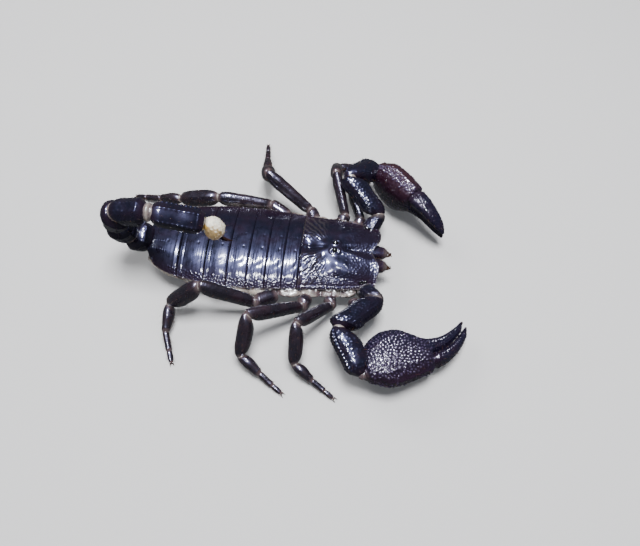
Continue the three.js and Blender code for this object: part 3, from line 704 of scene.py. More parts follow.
def head_shield():
    """The head shield, with a fan of wrinkles behind, granules at the sides and a beaded rim."""
    rows, columns = 190, 220
    u = np.linspace(0, 1, rows)[:, None]
    y = across(columns) * half_width(u * SHIELD_LENGTH * 0.93)
    corner = (np.abs(y) / half_width(SHIELD_LENGTH - 3)) ** 5
    front = curve(np.clip(y, -FRONT_REACH, FRONT_REACH), FRONT_EDGE) + 0.25
    front -= 1.2 * np.clip(corner - 0.12, 0, 1.2)
    start = GAP / 2 - OVERHANG
    x = start + u * (front - start)
    side = np.abs(y) / half_width(np.minimum(x, SHIELD_LENGTH))
    height = back_height(x, y) + shield_relief(x, y) * (1 - np.clip(side, 0, 1) ** 6)
    points = xyz(x, y, height)
    fan = np.arctan2(np.abs(y), 9.5 - x)
    wrinkles = np.sin(fan * 46 + 3.0 * noise(points, 2.0, 3)) + 0.9 * noise(points, 0.5, 4)
    wrinkles = wrinkles * (1 - smoothstep(5.0, 8.5, x))
    creased = smoothstep(1.5, 3.2, np.abs(y)) * (1 - smoothstep(0.88, 1, side))
    height += 0.055 * wrinkles * creased
    height += 0.02 * noise(points, 1.3, 5)
    rim = plateau(side, 0.93, 0.965, 0.985, 1.0)
    height += 0.03 * rim - 0.04 * hump((side - 0.915) * 14, 0.5)
    height += 0.14 * smoothstep(0.955, 0.975, u)
    height += 0.14 * smoothstep(0.03, 0.0, u)
    sheet = Sheet(xyz(x, y, height), wrap=False)
    lens = sum(hump(np.hypot(x - EYE_PLACE[0], y - sign * EYE_SIDE), 1.6) for sign in (1, -1))
    outer = smoothstep(0.62, 0.95, side)
    forward = smoothstep(12, 17, x)
    in_trough = hump(y, 1.7) * smoothstep(11.5, 13.0, x)
    rough = np.clip(0.35 * outer * smoothstep(4, 9, x) + 0.06 * forward + 0.85 * in_trough, 0, 0.95)
    tall = 0.05 + 0.05 * np.clip(in_trough, 0, 1)
    granulate(sheet, 0.55, tall, rough * (1 - np.clip(lens * 2, 0, 1)), mark=0.5)
    beads = rim * (0.5 + 0.5 * np.sin(x * ROUND / 0.8))
    sheet.lift(0.07 * beads)
    # Pale along the wrinkle ridges and less in their grooves: painted silvery sheen on the wrinkles
    # behind the eyes.
    sheet.tint(1, 0.3 * smoothstep(0.985, 1.0, side) + 0.25 * smoothstep(0.985, 1.0, u)
               + 0.07 * np.clip(0.4 + wrinkles, 0, 1) * creased * (1 - smoothstep(5.0, 8.0, x)))
    sheet.tint(2, 0.55 * outer + 0.3 * forward + 0.35 * (1 - smoothstep(0.0, 4.0, x)))
    sheet.aim()
    return placed(close_plate(sheet, PLATE_THICKNESS + 0.1))


def eye(node_name):
    """A domed lens where the solid's small dome stands."""
    low, high = box(node_name)
    mid = (low + high) / 2
    radius = (high[0] - low[0]) / 2 + 0.04
    tilt = unit(np.array([0.05, 0.5 * np.sign(mid[1] - ORIGIN[1]), 1.0]))
    side = unit(np.cross(tilt, FORWARD))
    axes = (side, np.cross(side, tilt), tilt)
    sizes = (radius, radius, 0.75 * radius)
    return ball(mid - tilt * 0.22, axes, sizes, (24, 48), low=-0.5, power=1.0)[0]


def side_eyes(node_name):
    """Three small lenses in a row along the front corner of the shield."""
    low, high = box(node_name)
    radius = (high[0] - low[0]) / 5.2
    inner = abs(low[1] - ORIGIN[1]) < abs(high[1] - ORIGIN[1])
    first, last = (high[1], low[1]) if inner else (low[1], high[1])
    lenses = []
    for t in (1 / 6, 1 / 2, 5 / 6):
        y = (first + (last - first) * t) * 0.5 + (low[1] + high[1]) * 0.25
        mid = np.array([low[0] + (high[0] - low[0]) * t, y, (low[2] + high[2]) / 2 - 0.05])
        axes = (FORWARD, np.array([0.0, 1.0, 0.0]), UP)
        lenses.append(ball(mid, axes, (radius,) * 3, (16, 32), low=-0.5, power=1.0)[0])
    return lenses


def build_back():
    add_piece("head_shield", [head_shield()], SHELL, "shell", "carapace")
    for number in range(1, 8):
        add_piece(f"back_plate_{number}", [tergite(number)], SHELL, "shell", f"tergite_{number}")
    for label, _ in SIDES:
        add_piece(f"middle_eye_{label}", [eye(f"eye_median_{label}")], EYE, "eye",
                  f"eye_median_{label}")
        add_piece(f"side_eyes_{label}", side_eyes(f"eyes_lateral_{label}"), EYE, "eye",
                  f"eyes_lateral_{label}")


# ---------------------------------------------------------------- limb segments

RING_POWER = 2.6      # superellipse of the solids' rings


class Span:
    """One straight segment: its ends, its axes and its half widths and heights."""

    def __init__(self, start, end, rings, before=None, after=None, side=None):
        self.start, self.end = start, end
        self.length = np.linalg.norm(end - start)
        self.along = (end - start) / self.length
        self.side = unit(np.cross(UP, self.along)) if side is None else side
        self.up = np.cross(self.along, self.side)
        self.side = np.cross(self.up, self.along)
        self.start_plane = unit(self.along + (self.along if before is None else before))
        self.end_plane = unit(self.along + (self.along if after is None else after))
        self.widths, self.heights = [], []
        for ring in rings:
            corner = math.cos(math.pi / len(ring)) ** (2 / RING_POWER)
            offset = ring - centre(ring)
            u = float(np.dot(centre(ring) - start, self.along) / self.length)
            self.widths.append((u, np.abs(offset @ self.side).max() / corner))
            self.heights.append((u, np.abs(offset @ self.up).max() / corner))

    def sizes(self, u):
        if len(self.widths) < 2:
            return self.widths[0][1], self.heights[0][1]
        return curve(u, self.widths), curve(u, self.heights)


def chain(joints, groups, side=None):
    """Spans through a limb's joints, each with the rings that lie on it."""
    ways = [unit(b - a) for a, b in zip(joints, joints[1:])]
    spans = []
    for i, rings in enumerate(groups):
        spans.append(Span(joints[i], joints[i + 1], rings, ways[i - 1] if i else None,
                          ways[i + 1] if i + 1 < len(ways) else None, side))
    return spans


def sleeve(span, *, seed, neck=0.4, mouth=0.3, collar=0.1, start=0.0, stop=1.0, keels=(),
           power=2.3, swell=None, spacing=SKIN_SPACING, waves=0.05, pale=0.0):
    """The horny skin of a segment: ends rounded off by `neck` and `mouth`, an outline from the
    solid, a low rim near the far end and beaded keels. Each keel is (angle, height, half angle,
    bead pitch); `pale` is how light the skin turns at its ends."""
    rows = max(16, round(span.length * (stop - start) / spacing))
    widest = max(w for _, w in span.widths) + max(h for _, h in span.heights)
    columns = max(28, round(ROUND * widest / 2 / spacing))
    u = np.linspace(start, stop, rows)[:, None]
    angle = turns(columns)[None]
    width, height = span.sizes(u)
    reach = 0.42 * widest                     # how far the rounding of the ends runs
    behind, ahead = (u - start) * span.length, (stop - u) * span.length

    def rounding(distance, amount):
        return 1 - amount * (1 - np.sqrt(1 - (1 - np.clip(distance / reach, 0, 1)) ** 2))

    shape = rounding(behind, neck) * rounding(ahead, mouth)
    rim = collar * hump(ahead - 0.55 * reach, 0.6)
    cos, sin = squared(angle, power)
    bulge = 0 if swell is None else swell(u, angle)
    axis = span.start + span.along * (u * span.length)[..., None]
    offset = (cos * width * shape)[..., None] * span.side
    offset = offset + (sin * height * shape)[..., None] * span.up
    size = np.maximum(np.linalg.norm(offset, axis=-1, keepdims=True), 1e-6)
    offset = offset * (1 + (rim + bulge)[..., None] / size)
    slide = (-(offset @ span.start_plane) / np.dot(span.along, span.start_plane) * ((1 - u) ** 2)
             - (offset @ span.end_plane) / np.dot(span.along, span.end_plane) * u ** 2)
    sheet = Sheet(axis + offset + slide[..., None] * span.along)
    sheet.u, sheet.angle = u + 0 * angle, angle + 0 * u
    inside = smoothstep(0.2 * reach, reach, behind) * smoothstep(0.2 * reach, 0.8 * reach, ahead)
    sheet.inside = inside + 0 * angle
    sheet.lift(waves * noise(sheet.points, 1.6, seed) * inside)
    for where, tall, wide, pitch in keels:
        ridge = hump(angle_gap(angle, where), wide) * inside
        beads = beaded(u * span.length, pitch) if pitch else 1.0
        sheet.lift(tall * ridge * (0.3 + 0.7 * beads))
        sheet.tint(0, 0.6 * ridge * beads)
    ends = 2 - smoothstep(0, 0.75 * reach, behind) - smoothstep(0, 0.75 * reach, ahead)
    sheet.tint(1, (pale + 0.1 * pale * noise(sheet.points, 0.8, seed + 50)) * np.clip(ends, 0, 1))
    sheet.tint(2, 0.6 * (1 - inside))
    return capped(sheet)


def capped(sheet):
    """Rounds both ends of a tube in towards its axis."""
    leans = (0.5, 0.95, 1.3)
    depth = 0.35

    def cap(loop, inner):
        mid = centre(loop)
        way = unit((loop - inner).mean(axis=0))
        return [mid + (loop - mid) * math.cos(a) + way * depth * math.sin(a) for a in leans]

    def longer(grid):
        first, last = (np.repeat(end, len(leans), 0) for end in (grid[:1], grid[-1:]))
        return np.concatenate([first, grid, last])

    points = sheet.points
    grown = Sheet(np.concatenate([cap(points[0], points[1])[::-1], points,
                                  cap(points[-1], points[-2])]))
    grown.tone, grown.u, grown.angle = longer(sheet.tone), longer(sheet.u), longer(sheet.angle)
    grown.inside = longer(sheet.inside)
    grown.inside[:len(leans)] = 0
    grown.inside[-len(leans):] = 0
    return grown


def joint_skin(before, after, size, stretch=1.0, *, light):
    """A folded soft skin in the joint between two segments."""
    wide, tall = (size * min(pair) for pair in zip(before.sizes(1.0), after.sizes(0.12)))
    way = unit(before.along + after.along)
    side = unit(after.side - np.dot(after.side, way) * way)
    long = stretch * (wide + tall) / 2
    sheet, rise = ball(before.end, (side, np.cross(way, side), way), (wide, tall, long), (34, 44),
                       low=-0.5 + 1 / 35, crease=0.05, twist=0.3)
    # Paler on the crests of the folds and darker in the creases: painted shade in the creases.
    sheet.tint(1, light * (1 + 0.7 * np.sin(rise * 2 * FOLDS)))
    sheet.tint(2, 0.3)
    return sheet


def hook(base, way, bend_to, length, radius, turn, flat=1.0, spacing=0.12):
    """A tapered hook that starts along `way` and curls towards `bend_to`."""
    rows = max(8, round(length / spacing))
    u = np.linspace(0, 1, rows)
    side = unit(np.cross(way, bend_to))
    inwards = np.cross(side, way)
    heading = turn * u
    steps = np.cos(heading)[:, None] * way + np.sin(heading)[:, None] * inwards
    path = base + np.vstack([np.zeros(3), np.cumsum(steps[:-1], axis=0)]) * length / (rows - 1)
    normal = -np.sin(heading)[:, None] * way + np.cos(heading)[:, None] * inwards
    thick = (radius * (1 - u) ** 0.75 + 0.015)[:, None]
    return tube(path, side, normal[:, None], thick * flat, thick, 14)


# ---------------------------------------------------------------- bristles

ATLAS = 4             # the bristles' map holds the limb's segments in a square of cells
TUFT = 0.003          # size of one bristle's patch on that map


class Bristles:
    """Fine tapered hairs gathered from several sheets into one mesh."""

    def __init__(self):
        self.corners, self.faces, self.places = [], [], []
        self.cell = 0

    def plant(self, sheet, spacing, length, *, lean, width=0.035, where=1.0):
        """Sets hairs at least `spacing` apart where `where` allows, leaning to the sheet's end."""
        shape = sheet.points.shape[:2]
        flat, normals = sheet.points.reshape(-1, 3), sheet.normal.reshape(-1, 3)
        picked = scatter(flat, spacing, (where * sheet.inside).reshape(-1))
        along = np.gradient(sheet.points, axis=0).reshape(-1, 3)
        corner = np.array([self.cell % ATLAS, self.cell // ATLAS]) / ATLAS
        for i in picked:
            row, column = divmod(int(i), shape[1])
            forward = unit(along[i])
            sway = RNG.normal(0, 0.22, 3)
            direction = unit(normals[i] + lean * forward + sway)
            tall = length * (0.55 + 0.75 * RNG.random())
            root = flat[i] - normals[i] * 0.08
            share = np.array([row / shape[0], column / shape[1]])
            place = corner + (0.06 + 0.88 * share) / ATLAS
            self.add(root, direction, forward, tall, width * (0.8 + 0.5 * RNG.random()), place)
        self.cell += 1

    def add(self, root, direction, forward, tall, width, place):
        """One hair: a three-sided spike in three steps, which bends forward."""
        side = unit(np.cross(direction, forward + np.array([0.01, 0.02, 0.03])))
        other = np.cross(direction, side)
        start = len(self.corners)
        for t in (0, 1 / 3, 2 / 3, 1):
            mid = root + direction * tall * t + forward * tall * 0.22 * t * t
            thick = width * (1 - 0.82 * t)
            for k in range(3):
                a = ROUND * k / 3
                self.corners.append(mid + thick * (math.cos(a) * side + math.sin(a) * other))
                self.places.append(place + TUFT * (np.array([k / 2, t]) - 0.5))
        for step in range(3):
            low = start + 3 * step
            for k in range(3):
                m = (k + 1) % 3
                self.faces.append([low + k, low + m, low + 3 + m, low + 3 + k])
        self.faces.append([start + 2, start + 1, start])
        self.faces.append([start + 9, start + 10, start + 11])

    def finish(self, name):
        mesh = make_mesh(name, np.array(self.corners), self.faces)
        layer = mesh.uv_layers.new(name="OFBake")
        loops = np.empty(len(mesh.loops), int)
        mesh.loops.foreach_get("vertex_index", loops)
        layer.data.foreach_set("uv", np.array(self.places)[loops].ravel())
        make_piece(name, mesh, HAIR)


# ---------------------------------------------------------------- legs

DORSAL, VENTRAL = math.pi / 2, -math.pi / 2
# The soft joints from the body to the foot: size against the segment, and how pale each is.
LEG_JOINTS = ((0.84, 0.06), (0.84, 0.26), (0.84, 0.16), (0.72, 0.06), (0.72, 0.05))


def leg_spans(name):
    body = ORIGIN + np.array([middle(f"{name}_femur")[0] - ORIGIN[0], 0, 6])
    upper, knee, lower = ring_groups([f"{name}_femur", f"{name}_patella", f"{name}_tibia"], body)
    joints = [centre(upper[0]), centre(upper[2]), joint_between(upper, knee),
              joint_between(knee, lower), *(centre(lower[k]) for k in (3, 5, 7))]
    return chain(joints, [upper[:2], upper[2:], knee, lower[:3], lower[3:5], lower[5:]])


def build_leg(label, number):
    name = f"leg_{label}_{number}"
    seed = number + (10 if label == "left" else 0)
    spans = leg_spans(name)
    root, femur, patella, tibia, heel, toe = spans
    lower_keel = (VENTRAL, 0.1, 0.2, 0.55)
    root_skin = sleeve(root, neck=0.1, mouth=0.25, seed=seed, pale=0.2)
    femur_skin = sleeve(femur, seed=seed + 1, pale=0.25, keels=(
        (DORSAL, 0.1, 0.22, 0.6), (DORSAL + 0.9, 0.07, 0.16, 0.5), lower_keel))
    patella_skin = sleeve(patella, seed=seed + 2, pale=0.3, keels=(
        (DORSAL - 0.55, 0.09, 0.2, 0), (DORSAL + 0.55, 0.09, 0.2, 0), lower_keel))
    tibia_skin = sleeve(tibia, seed=seed + 3, keels=((DORSAL, 0.06, 0.3, 0),), pale=0.2)
    heel_skin = sleeve(heel, seed=seed + 4, neck=0.3, collar=0.05, spacing=0.16, pale=0.3)
    toe_skin = sleeve(toe, seed=seed + 5, neck=0.3, collar=0.0, stop=0.84, spacing=0.14, pale=0.2)
    granulate(femur_skin, 0.6, 0.04, 0.3 * femur_skin.inside, mark=0.4)
    joints = [joint_skin(a, b, size, light=light) for a, b, (size, light) in
              zip(spans, spans[1:], LEG_JOINTS)]
    add_piece(f"{name}_thigh", [root_skin, femur_skin], LEG, "leg", f"{name}_femur")
    add_piece(f"{name}_knee", [patella_skin], LEG, "leg", f"{name}_patella")
    add_piece(f"{name}_foot", [tibia_skin, heel_skin, toe_skin], LEG, "leg", f"{name}_tibia")
    add_piece(f"{name}_joints", joints, SOFT, "soft")
    add_piece(f"{name}_claws", foot_claws(heel, toe), CLAW, "leg")
    hairs = Bristles()
    for skin, spacing, tall, lean in (
            (femur_skin, 1.9, 1.1, 0.5), (patella_skin, 1.6, 1.2, 0.5), (tibia_skin, 1.0, 1.3, 0.6),
            (heel_skin, 0.75, 1.2, 0.6), (toe_skin, 0.6, 1.0, 0.7)):
        hairs.plant(skin, spacing, tall, lean=lean)
    hairs.finish(f"{name}_bristles")


def foot_claws(heel, toe):
    """Two curved claws and a small middle one, with spines under the foot."""
    tip = toe.start + toe.along * toe.length * 0.82
    down = -UP
    parts = []
    for sign in (1, -1):
        base = tip + toe.side * sign * 0.28 + UP * 0.12
        way = unit(toe.along + 0.25 * sign * toe.side + 0.35 * UP)
        parts.append(hook(base, way, down, 1.55, 0.2, 1.5, 0.8))
    parts.append(hook(tip - UP * 0.05, toe.along, down, 0.6, 0.15, 0.9))
    for span, count, size in ((toe, 4, 0.55), (heel, 4, 0.65)):
        for k in range(count):
            for sign in (1, -1):
                u = 0.2 + 0.6 * k / count
                wide, tall = span.sizes(u)
                base = (span.start + span.along * u * span.length + sign * 0.55 * wide * span.side
                        - 0.75 * tall * span.up)
                way = unit(span.along * 0.8 - span.up + 0.3 * sign * span.side)
                parts.append(hook(base, way, span.along, size, 0.1, 0.3, spacing=0.14))
    for sign in (1, -1):
        base = heel.end - heel.up * heel.sizes(0.9)[1] * 0.7 + sign * 0.4 * heel.side
        parts.append(hook(base, unit(heel.along - 0.5 * heel.up), down, 0.9, 0.14, 0.4))
    return parts


# ---------------------------------------------------------------- tail

# Keels round a tail segment: angle and share of the full height.
TAIL_KEELS = [(DORSAL - 0.55, 1.0), (DORSAL + 0.55, 1.0), (0.2, 0.7), (math.pi - 0.2, 0.7),
              (-0.5, 0.5), (math.pi + 0.5, 0.5), (VENTRAL - 0.3, 0.35), (VENTRAL + 0.3, 0.35)]
LAST_FACES = [(VENTRAL + 0.37, 0.6), (VENTRAL - 0.61, 0.4)]     # middle and half span, as angles
LAST_KEELS = [(DORSAL - 0.7, 0.7), (DORSAL + 0.7, 0.7), (VENTRAL + 0.98, 0.5),
              (VENTRAL - 0.23, 0.25), (VENTRAL - 1.02, 1.3)]


def tail_spans():
    groups = ring_groups([f"tail_{number}" for number in range(1, 6)],
                         ORIGIN + np.array([TAIL_ROOT, 0, EDGE]))
    joints = [centre(groups[0][0]), *map(joint_between, groups, groups[1:]),
              centre(groups[-1][-1])]
    middles = np.array([centre(ring) for group in groups for ring in group])
    side = np.linalg.svd(middles - middles.mean(axis=0))[2][2]
    return chain(joints, groups, -side * np.sign(side[1]))


def tail_segment(span, number):
    """A tail ring with keels and flat sides; the last one is the long one that carries the bulb."""
    last = number == 5

    def swell(u, angle):
        trough = 0.3 * hump(angle - DORSAL, 0.5) * (1 - 0.7 * last)
        flats = 0.06 * (hump(angle + 0.15, 0.4) + hump(angle - math.pi - 0.15, 0.4)
                        + hump(angle - ROUND + 0.15, 0.4))
        if last:
            for mid, half in LAST_FACES:
                off = np.minimum(angle_gap(angle, mid), half)
                flats = flats + 2.6 * np.clip(1 - math.cos(half) / np.cos(off), 0, 1)
        return (0.12 - trough - flats) * plateau(u, 0.02, 0.2, 0.85, 1)

    pitch = 1.25 if last else 0.9
    keels = [(angle, 0.3 * share, 0.15, pitch) for angle, share in
             (LAST_KEELS if last else TAIL_KEELS)]
    start = 0.085 if last else 0.03
    sheet = sleeve(span, neck=0.32, mouth=0.2 if last else 0.32, collar=0.16, start=start,
                   stop=0.97, keels=keels, power=2.25, swell=swell, seed=60 + number,
                   spacing=0.17, waves=0.035 if last else 0.07)
    if not last:
        granulate(sheet, 0.95, 0.05, 0.3 * sheet.inside, fill=0.45, mark=0.3)
    return sheet


def sting_root(last):
    """The sting's rings, and the place and direction in which it leaves the bulb."""
    rings = cad_rings("sting", last.end)
    point = centre(rings[0])
    return rings, point, unit(centre(rings[1]) - point)


def sting_bulb(last):
    """The pale bulb, which turns on from the last segment."""
    rings, point, way_out = sting_root(last)
    start = last.end + last.along * 0.25
    reach = np.linalg.norm(point - start)
    bend = unit(last.along + 0.55 * unit(point - start))
    handles = np.array([start, start + bend * reach * 0.42, point - way_out * reach * 0.34, point])
    rows, columns = 74, 96
    t = np.linspace(0, 1, rows)[:, None]
    path = ((1 - t) ** 3 * handles[0] + 3 * t * (1 - t) ** 2 * handles[1]
            + 3 * t * t * (1 - t) * handles[2] + t ** 3 * handles[3])
    along = unit(np.gradient(path, axis=0))
    side = last.side
    up = np.cross(along, side)
    stinger = np.linalg.norm(rings[0] - point, axis=1).mean()
    widest = 2.85
    table = [(0, 1.7), (0.1, 2.2), (0.32, widest), (0.56, widest * 0.98), (0.78, 2.05),
             (0.93, 1.25), (1, stinger * 1.05)]
    size = curve(t, table)
    angle = turns(columns)[None]
    belly = 1 + 0.07 * np.clip(-np.sin(angle), 0, 1) * hump(t - 0.42, 0.4)
    sheet = tube(path, side, up[:, None], size * 1.06, size * belly, columns)
    sheet.measured(t, 0.04, 0.14, 0.86, 0.98)
    furrows = sum(hump(angle_gap(angle, a), 0.2)
                  for a in (VENTRAL, VENTRAL + 0.75, VENTRAL - 0.75, 0.25, math.pi - 0.25))
    sheet.lift(-0.13 * furrows * sheet.inside + 0.05 * noise(sheet.points, 1.5, 71))
    under = np.clip(0.25 - np.sin(angle), 0, 1)     # the side with two rows of knobs
    granulate(sheet, 0.75, 0.13, 0.75 * under * sheet.inside, mark=0.7)
    sheet.aim()
    # Painted light and shade: paler where the bulb faces up, a painted highlight, and warm tan on
    # its lower side towards -Y, painted shade. The red near its ends is its own colour.
    shaded = smoothstep(0.3, 0.55, -0.9 * sheet.normal[..., 1] - 0.4 * sheet.normal[..., 2])
    sheet.tint(1, 0.8 * smoothstep(-0.2, 0.8, sheet.normal[..., 2]) * (1 - shaded))
    sheet.tint(2, 0.9 * smoothstep(0.8, 1.0, sheet.u) + 0.4 * hump(sheet.u, 0.05) + 0.8 * shaded)
    return capped(sheet)


def sting_horn(last):
    """The dark curved point, which starts a little inside the bulb."""
    rings, point, way_out = sting_root(last)
    middles = np.array([centre(ring) for ring in rings])
    radii = np.array([np.linalg.norm(ring - centre(ring), axis=1).mean() for ring in rings])
    middles = np.concatenate([[point - way_out * 0.7], middles])
    radii = np.concatenate([[radii[0] * 1.05], radii])
    radii[-1] = 0.04
    steps = np.linspace(0, len(middles) - 1, 60)
    path, size = spline(middles, steps), spline(radii[:, None], steps)
    along = unit(np.gradient(path, axis=0))
    up = np.cross(along, last.side)
    sheet = tube(path, last.side, up[:, None], size, size, 32)
    sheet.tint(2, 1 - smoothstep(8, 26, np.arange(len(steps)))[:, None])
    return sheet


def build_tail():
    spans = tail_spans()
    skins = []
    hairs = Bristles()
    for number, span in enumerate(spans, 1):
        sheet = tail_segment(span, number)
        add_piece(f"tail_segment_{number}", [sheet], SHELL, "shell", f"tail_{number}")
        hairs.plant(sheet, 2.1, 0.9, lean=0.7, width=0.04)
        if number > 1:
            before = spans[number - 2]
            skins.append(joint_skin(before, span, 0.86, 1.0 if number == 5 else 0.85,
                                    light=0.17 if number == 5 else 0.08))
    skins.append(tail_root_skin(spans[0]))
    bulb = sting_bulb(spans[-1])
    add_piece("tail_joints", skins, SOFT, "soft")
    add_piece("sting_bulb", [bulb], VESICLE, "vesicle", "vesicle")
    add_piece("sting_point", [sting_horn(spans[-1])], STING, "sting", "sting")
    hairs.plant(bulb, 1.5, 1.3, lean=0.5)
    hairs.finish("tail_bristles")


def tail_root_skin(first):
    """A ball of folded skin where the tail leaves the body."""
    wide, tall = (0.86 * size for size in first.sizes(0.1))
    return ball(first.start, (first.side, first.up, first.along), (wide, tall, 1.5), (30, 48),
                crease=0.04, folds=6)[0]


# ---------------------------------------------------------------- pedipalps and hands

# Rings of the hand: share of its length, offset to the inner side, half width, half thickness.
PALM = [(0, 0, 1.9, 2.1), (0.05, 0.1, 3.9, 3.3), (0.14, 0.3, 6.9, 4.5), (0.30, 0.3, 8.1, 5.0),
        (0.43, -0.5, 7.6, 4.7), (0.52, -2.2, 5.8, 4.0), (0.57, -1.6, 2.9, 3.2),
        (0.63, -2.0, 2.15, 2.8), (0.72, -2.35, 1.7, 2.4), (0.82, -1.85, 1.35, 2.0),
        (0.92, -0.95, 1.0, 1.5), (0.99, 0.3, 0.4, 0.6)]
HINGE = (0.575, -6.1)
HAND_POWER = 2.3
FINGER_ROWS = (0.28, 0.45, 0.62, 0.78)      # rows of granules, in half turns round a finger


def hand_axes(wrist, finger_rings):
    """The hand's length and its axes along, to the inner side and up. They are found from the
    arm's last ring and the moving finger's rings."""
    hinge = centre(finger_rings[0])
    top = np.linalg.svd(finger_rings[0] - hinge)[2][0]
    top = top * np.sign(top[2])
    reach = hinge - wrist
    reach = reach - np.dot(reach, top) * top
    ahead = math.sqrt(np.dot(reach, reach) - HINGE[1] ** 2)
    turned = math.atan2(-HINGE[1], ahead)
    options = []
    for sign in (1, -1):
        along = unit(math.cos(turned) * unit(reach)
                     + sign * math.sin(turned) * np.cross(top, unit(reach)))
        options.append((along, unit((reach - along * ahead) / HINGE[1])))
    body_side = ORIGIN + np.array([30.0, 0, 5]) - wrist     # towards a place ahead of the jaws
    along, inner = max(options, key=lambda pair: np.dot(pair[1], body_side))
    return (ahead - GAP) / HINGE[0], along, inner, top


def palm_sheet(label, wrist, axes):
    """The hand with its fixed finger: keels, dense granules above and teeth along the bite."""
    length, along, inner, top = axes
    rows, columns = 250, 300
    table = np.array(PALM)
    share = np.linspace(0, 1, rows)
    u = 0.99 * (0.55 * share + 0.45 * share ** 1.25)
    steps = np.interp(u, table[:, 0], np.arange(len(table)))
    shift, wide, thick = (spline(table[:, k:k + 1], steps) for k in (1, 2, 3))
    path = wrist + along * GAP + (u * length)[:, None] * along + shift * inner
    sheet = tube(path, inner, top, wide, thick, columns, HAND_POWER)
    u = sheet.measured(u[:, None], 0.02, 0.07, 0.95, 0.985).u
    on_palm = 1 - smoothstep(0.5, 0.58, u)
    upper = smoothstep(-0.35, 0.15, np.sin(sheet.angle))
    # keels that run from the wrist towards the fixed finger
    for place, tall in ((0.35 * math.pi, 0.28), (0.72 * math.pi, 0.35), (0.93 * math.pi, 0.3)):
        ridge = hump(sheet.angle - place, 0.16) * smoothstep(0.06, 0.2, u)
        sheet.lift(tall * ridge * (1 - 0.4 * smoothstep(0.5, 0.6, u)) * sheet.inside)
    sheet.lift(0.09 * noise(sheet.points, 3.2, 81) * on_palm + 0.025 * noise(sheet.points, 1.2, 82))
    sheet.lift(0.3 * hump(u - 0.035, 0.02))     # a collar round the wrist
    sheet.aim()
    wander = 0.12 * noise(sheet.points, 1.6, 83)
    bare_place = math.pi - (0.4 if label == "left" else 0.16)
    bare = smoothstep(0.7, 0.3, np.abs(sheet.angle - bare_place) + wander)
    keel = hump(sheet.angle - (math.pi + 0.1), 0.24) * on_palm * sheet.inside
    dense = upper * (1 - bare) * on_palm * sheet.inside
    below = (1 - upper) * on_palm * sheet.inside
    granulate(sheet, 0.76, 0.2, np.clip(dense * 2.2, 0, 1), fill=0.52)
    granulate(sheet, 0.95, 0.2, np.clip(keel * 1.6, 0, 1), fill=0.45)
    early = 0.2 + 0.5 * smoothstep(0.3, 0.1, u)
    granulate(sheet, 0.7, 0.1, early * bare * on_palm * sheet.inside, fill=0.42, mark=0.45)
    granulate(sheet, 1.1, 0.07, 0.3 * below, fill=0.5, mark=0.3)
    on_finger = smoothstep(0.56, 0.62, u) * sheet.inside
    dress_finger(sheet, FINGER_ROWS, math.pi, on_finger, length)
    ruddy = (1 - 0.6 * smoothstep(0.36, 0.56, u)) * (1.0 if label == "left" else 0.4)
    outer = smoothstep(2.2, 0.6, np.abs(sheet.angle - math.pi))
    flush = 0.6 if label == "left" else 0.2
    sheet.tint(2, (0.85 * bare * ruddy + flush * (1 - bare) * outer) * on_palm)
    sheet.tint(1, 0.1 * (1 - smoothstep(0.0, 0.02, u)))
    return capped(sheet)


def dress_finger(sheet, places, edge, where, length):
    """Rows of granules, a knobbly ridge along the top, and teeth along the biting edge with a
    larger one now and then. `places` are half turns round the finger and `edge` is an angle."""
    rows = sum(hump(sheet.angle - place * math.pi, 0.22) for place in places)
    granulate(sheet, 0.62, 0.14, np.clip(rows * where, 0, 1), fill=0.5, mark=0.4)
    run = sheet.u * length
    knobs = 0.6 + 0.4 * np.cos(run * ROUND / 0.95)
    sheet.lift(0.34 * knobs * hump(sheet.angle - 0.47 * math.pi, 0.3) * where)
    biting = hump(angle_gap(sheet.angle, edge), 0.3) * where
    small = np.abs(np.cos(run * math.pi / 0.62)) ** 1.5
    large = np.abs(np.cos(run * math.pi / 3.1)) ** 24
    sheet.lift((0.22 * small + 0.4 * large) * biting)
    sheet.tint(0, (0.5 * small + 0.5 * large) * biting)


def finger_sheet(rings, inner, top):
    """The moving finger, which starts a little inside the hand."""
    def sideways(path):
        side = unit(np.cross(top, unit(np.gradient(path, axis=0))))
        return side * np.sign((side @ inner).sum())

    middles = np.array([centre(ring) for ring in rings])
    heights = np.array([np.abs((ring - centre(ring)) @ top).max() for ring in rings])
    widths = np.array([np.abs((ring - centre(ring)) @ side).max()
                       for ring, side in zip(rings, sideways(middles))])
    base = middles[0] - unit(middles[1] - middles[0]) * 2.0
    middles = np.concatenate([[base], middles])
    widths = np.concatenate([[widths[0] * 0.8], widths]) * 1.03
    heights = np.concatenate([[heights[0] * 0.85], heights]) * 1.03
    gaps = np.linalg.norm(np.diff(middles, axis=0), axis=1)
    place = np.concatenate([[0], np.cumsum(gaps)])
    rows, columns = round(place[-1] / 0.15), 96
    u = np.linspace(0, 1, rows)
    steps = np.interp(u * place[-1], place, np.arange(len(place)))
    path, wide, high = (spline(v, steps) for v in (middles, widths[:, None], heights[:, None]))
    sheet = tube(path, sideways(path)[:, None], top, wide, high, columns, HAND_POWER)
    sheet.measured(u[:, None], 0.1, 0.2, 0.93, 0.98)
    sheet.lift(0.05 * noise(sheet.points, 1.3, 91) + 0.22 * hump(sheet.u - 0.14, 0.05))
    dress_finger(sheet, (*FINGER_ROWS, 0.95, 1.1), 0.0, sheet.inside, place[-1])
    sheet.tint(2, 0.3 * (1 - smoothstep(0.05, 0.3, sheet.u)))
    return capped(sheet)


def palp_spans(name):
    first, second, third = ring_groups([f"{name}_trochanter", f"{name}_femur", f"{name}_patella"],
                                       ORIGIN + np.array([12.0, 0, 6]))
    joints = [centre(first[0]), joint_between(first, second), joint_between(second, third),
              centre(third[-1])]
    return chain(joints, [first, second, third])


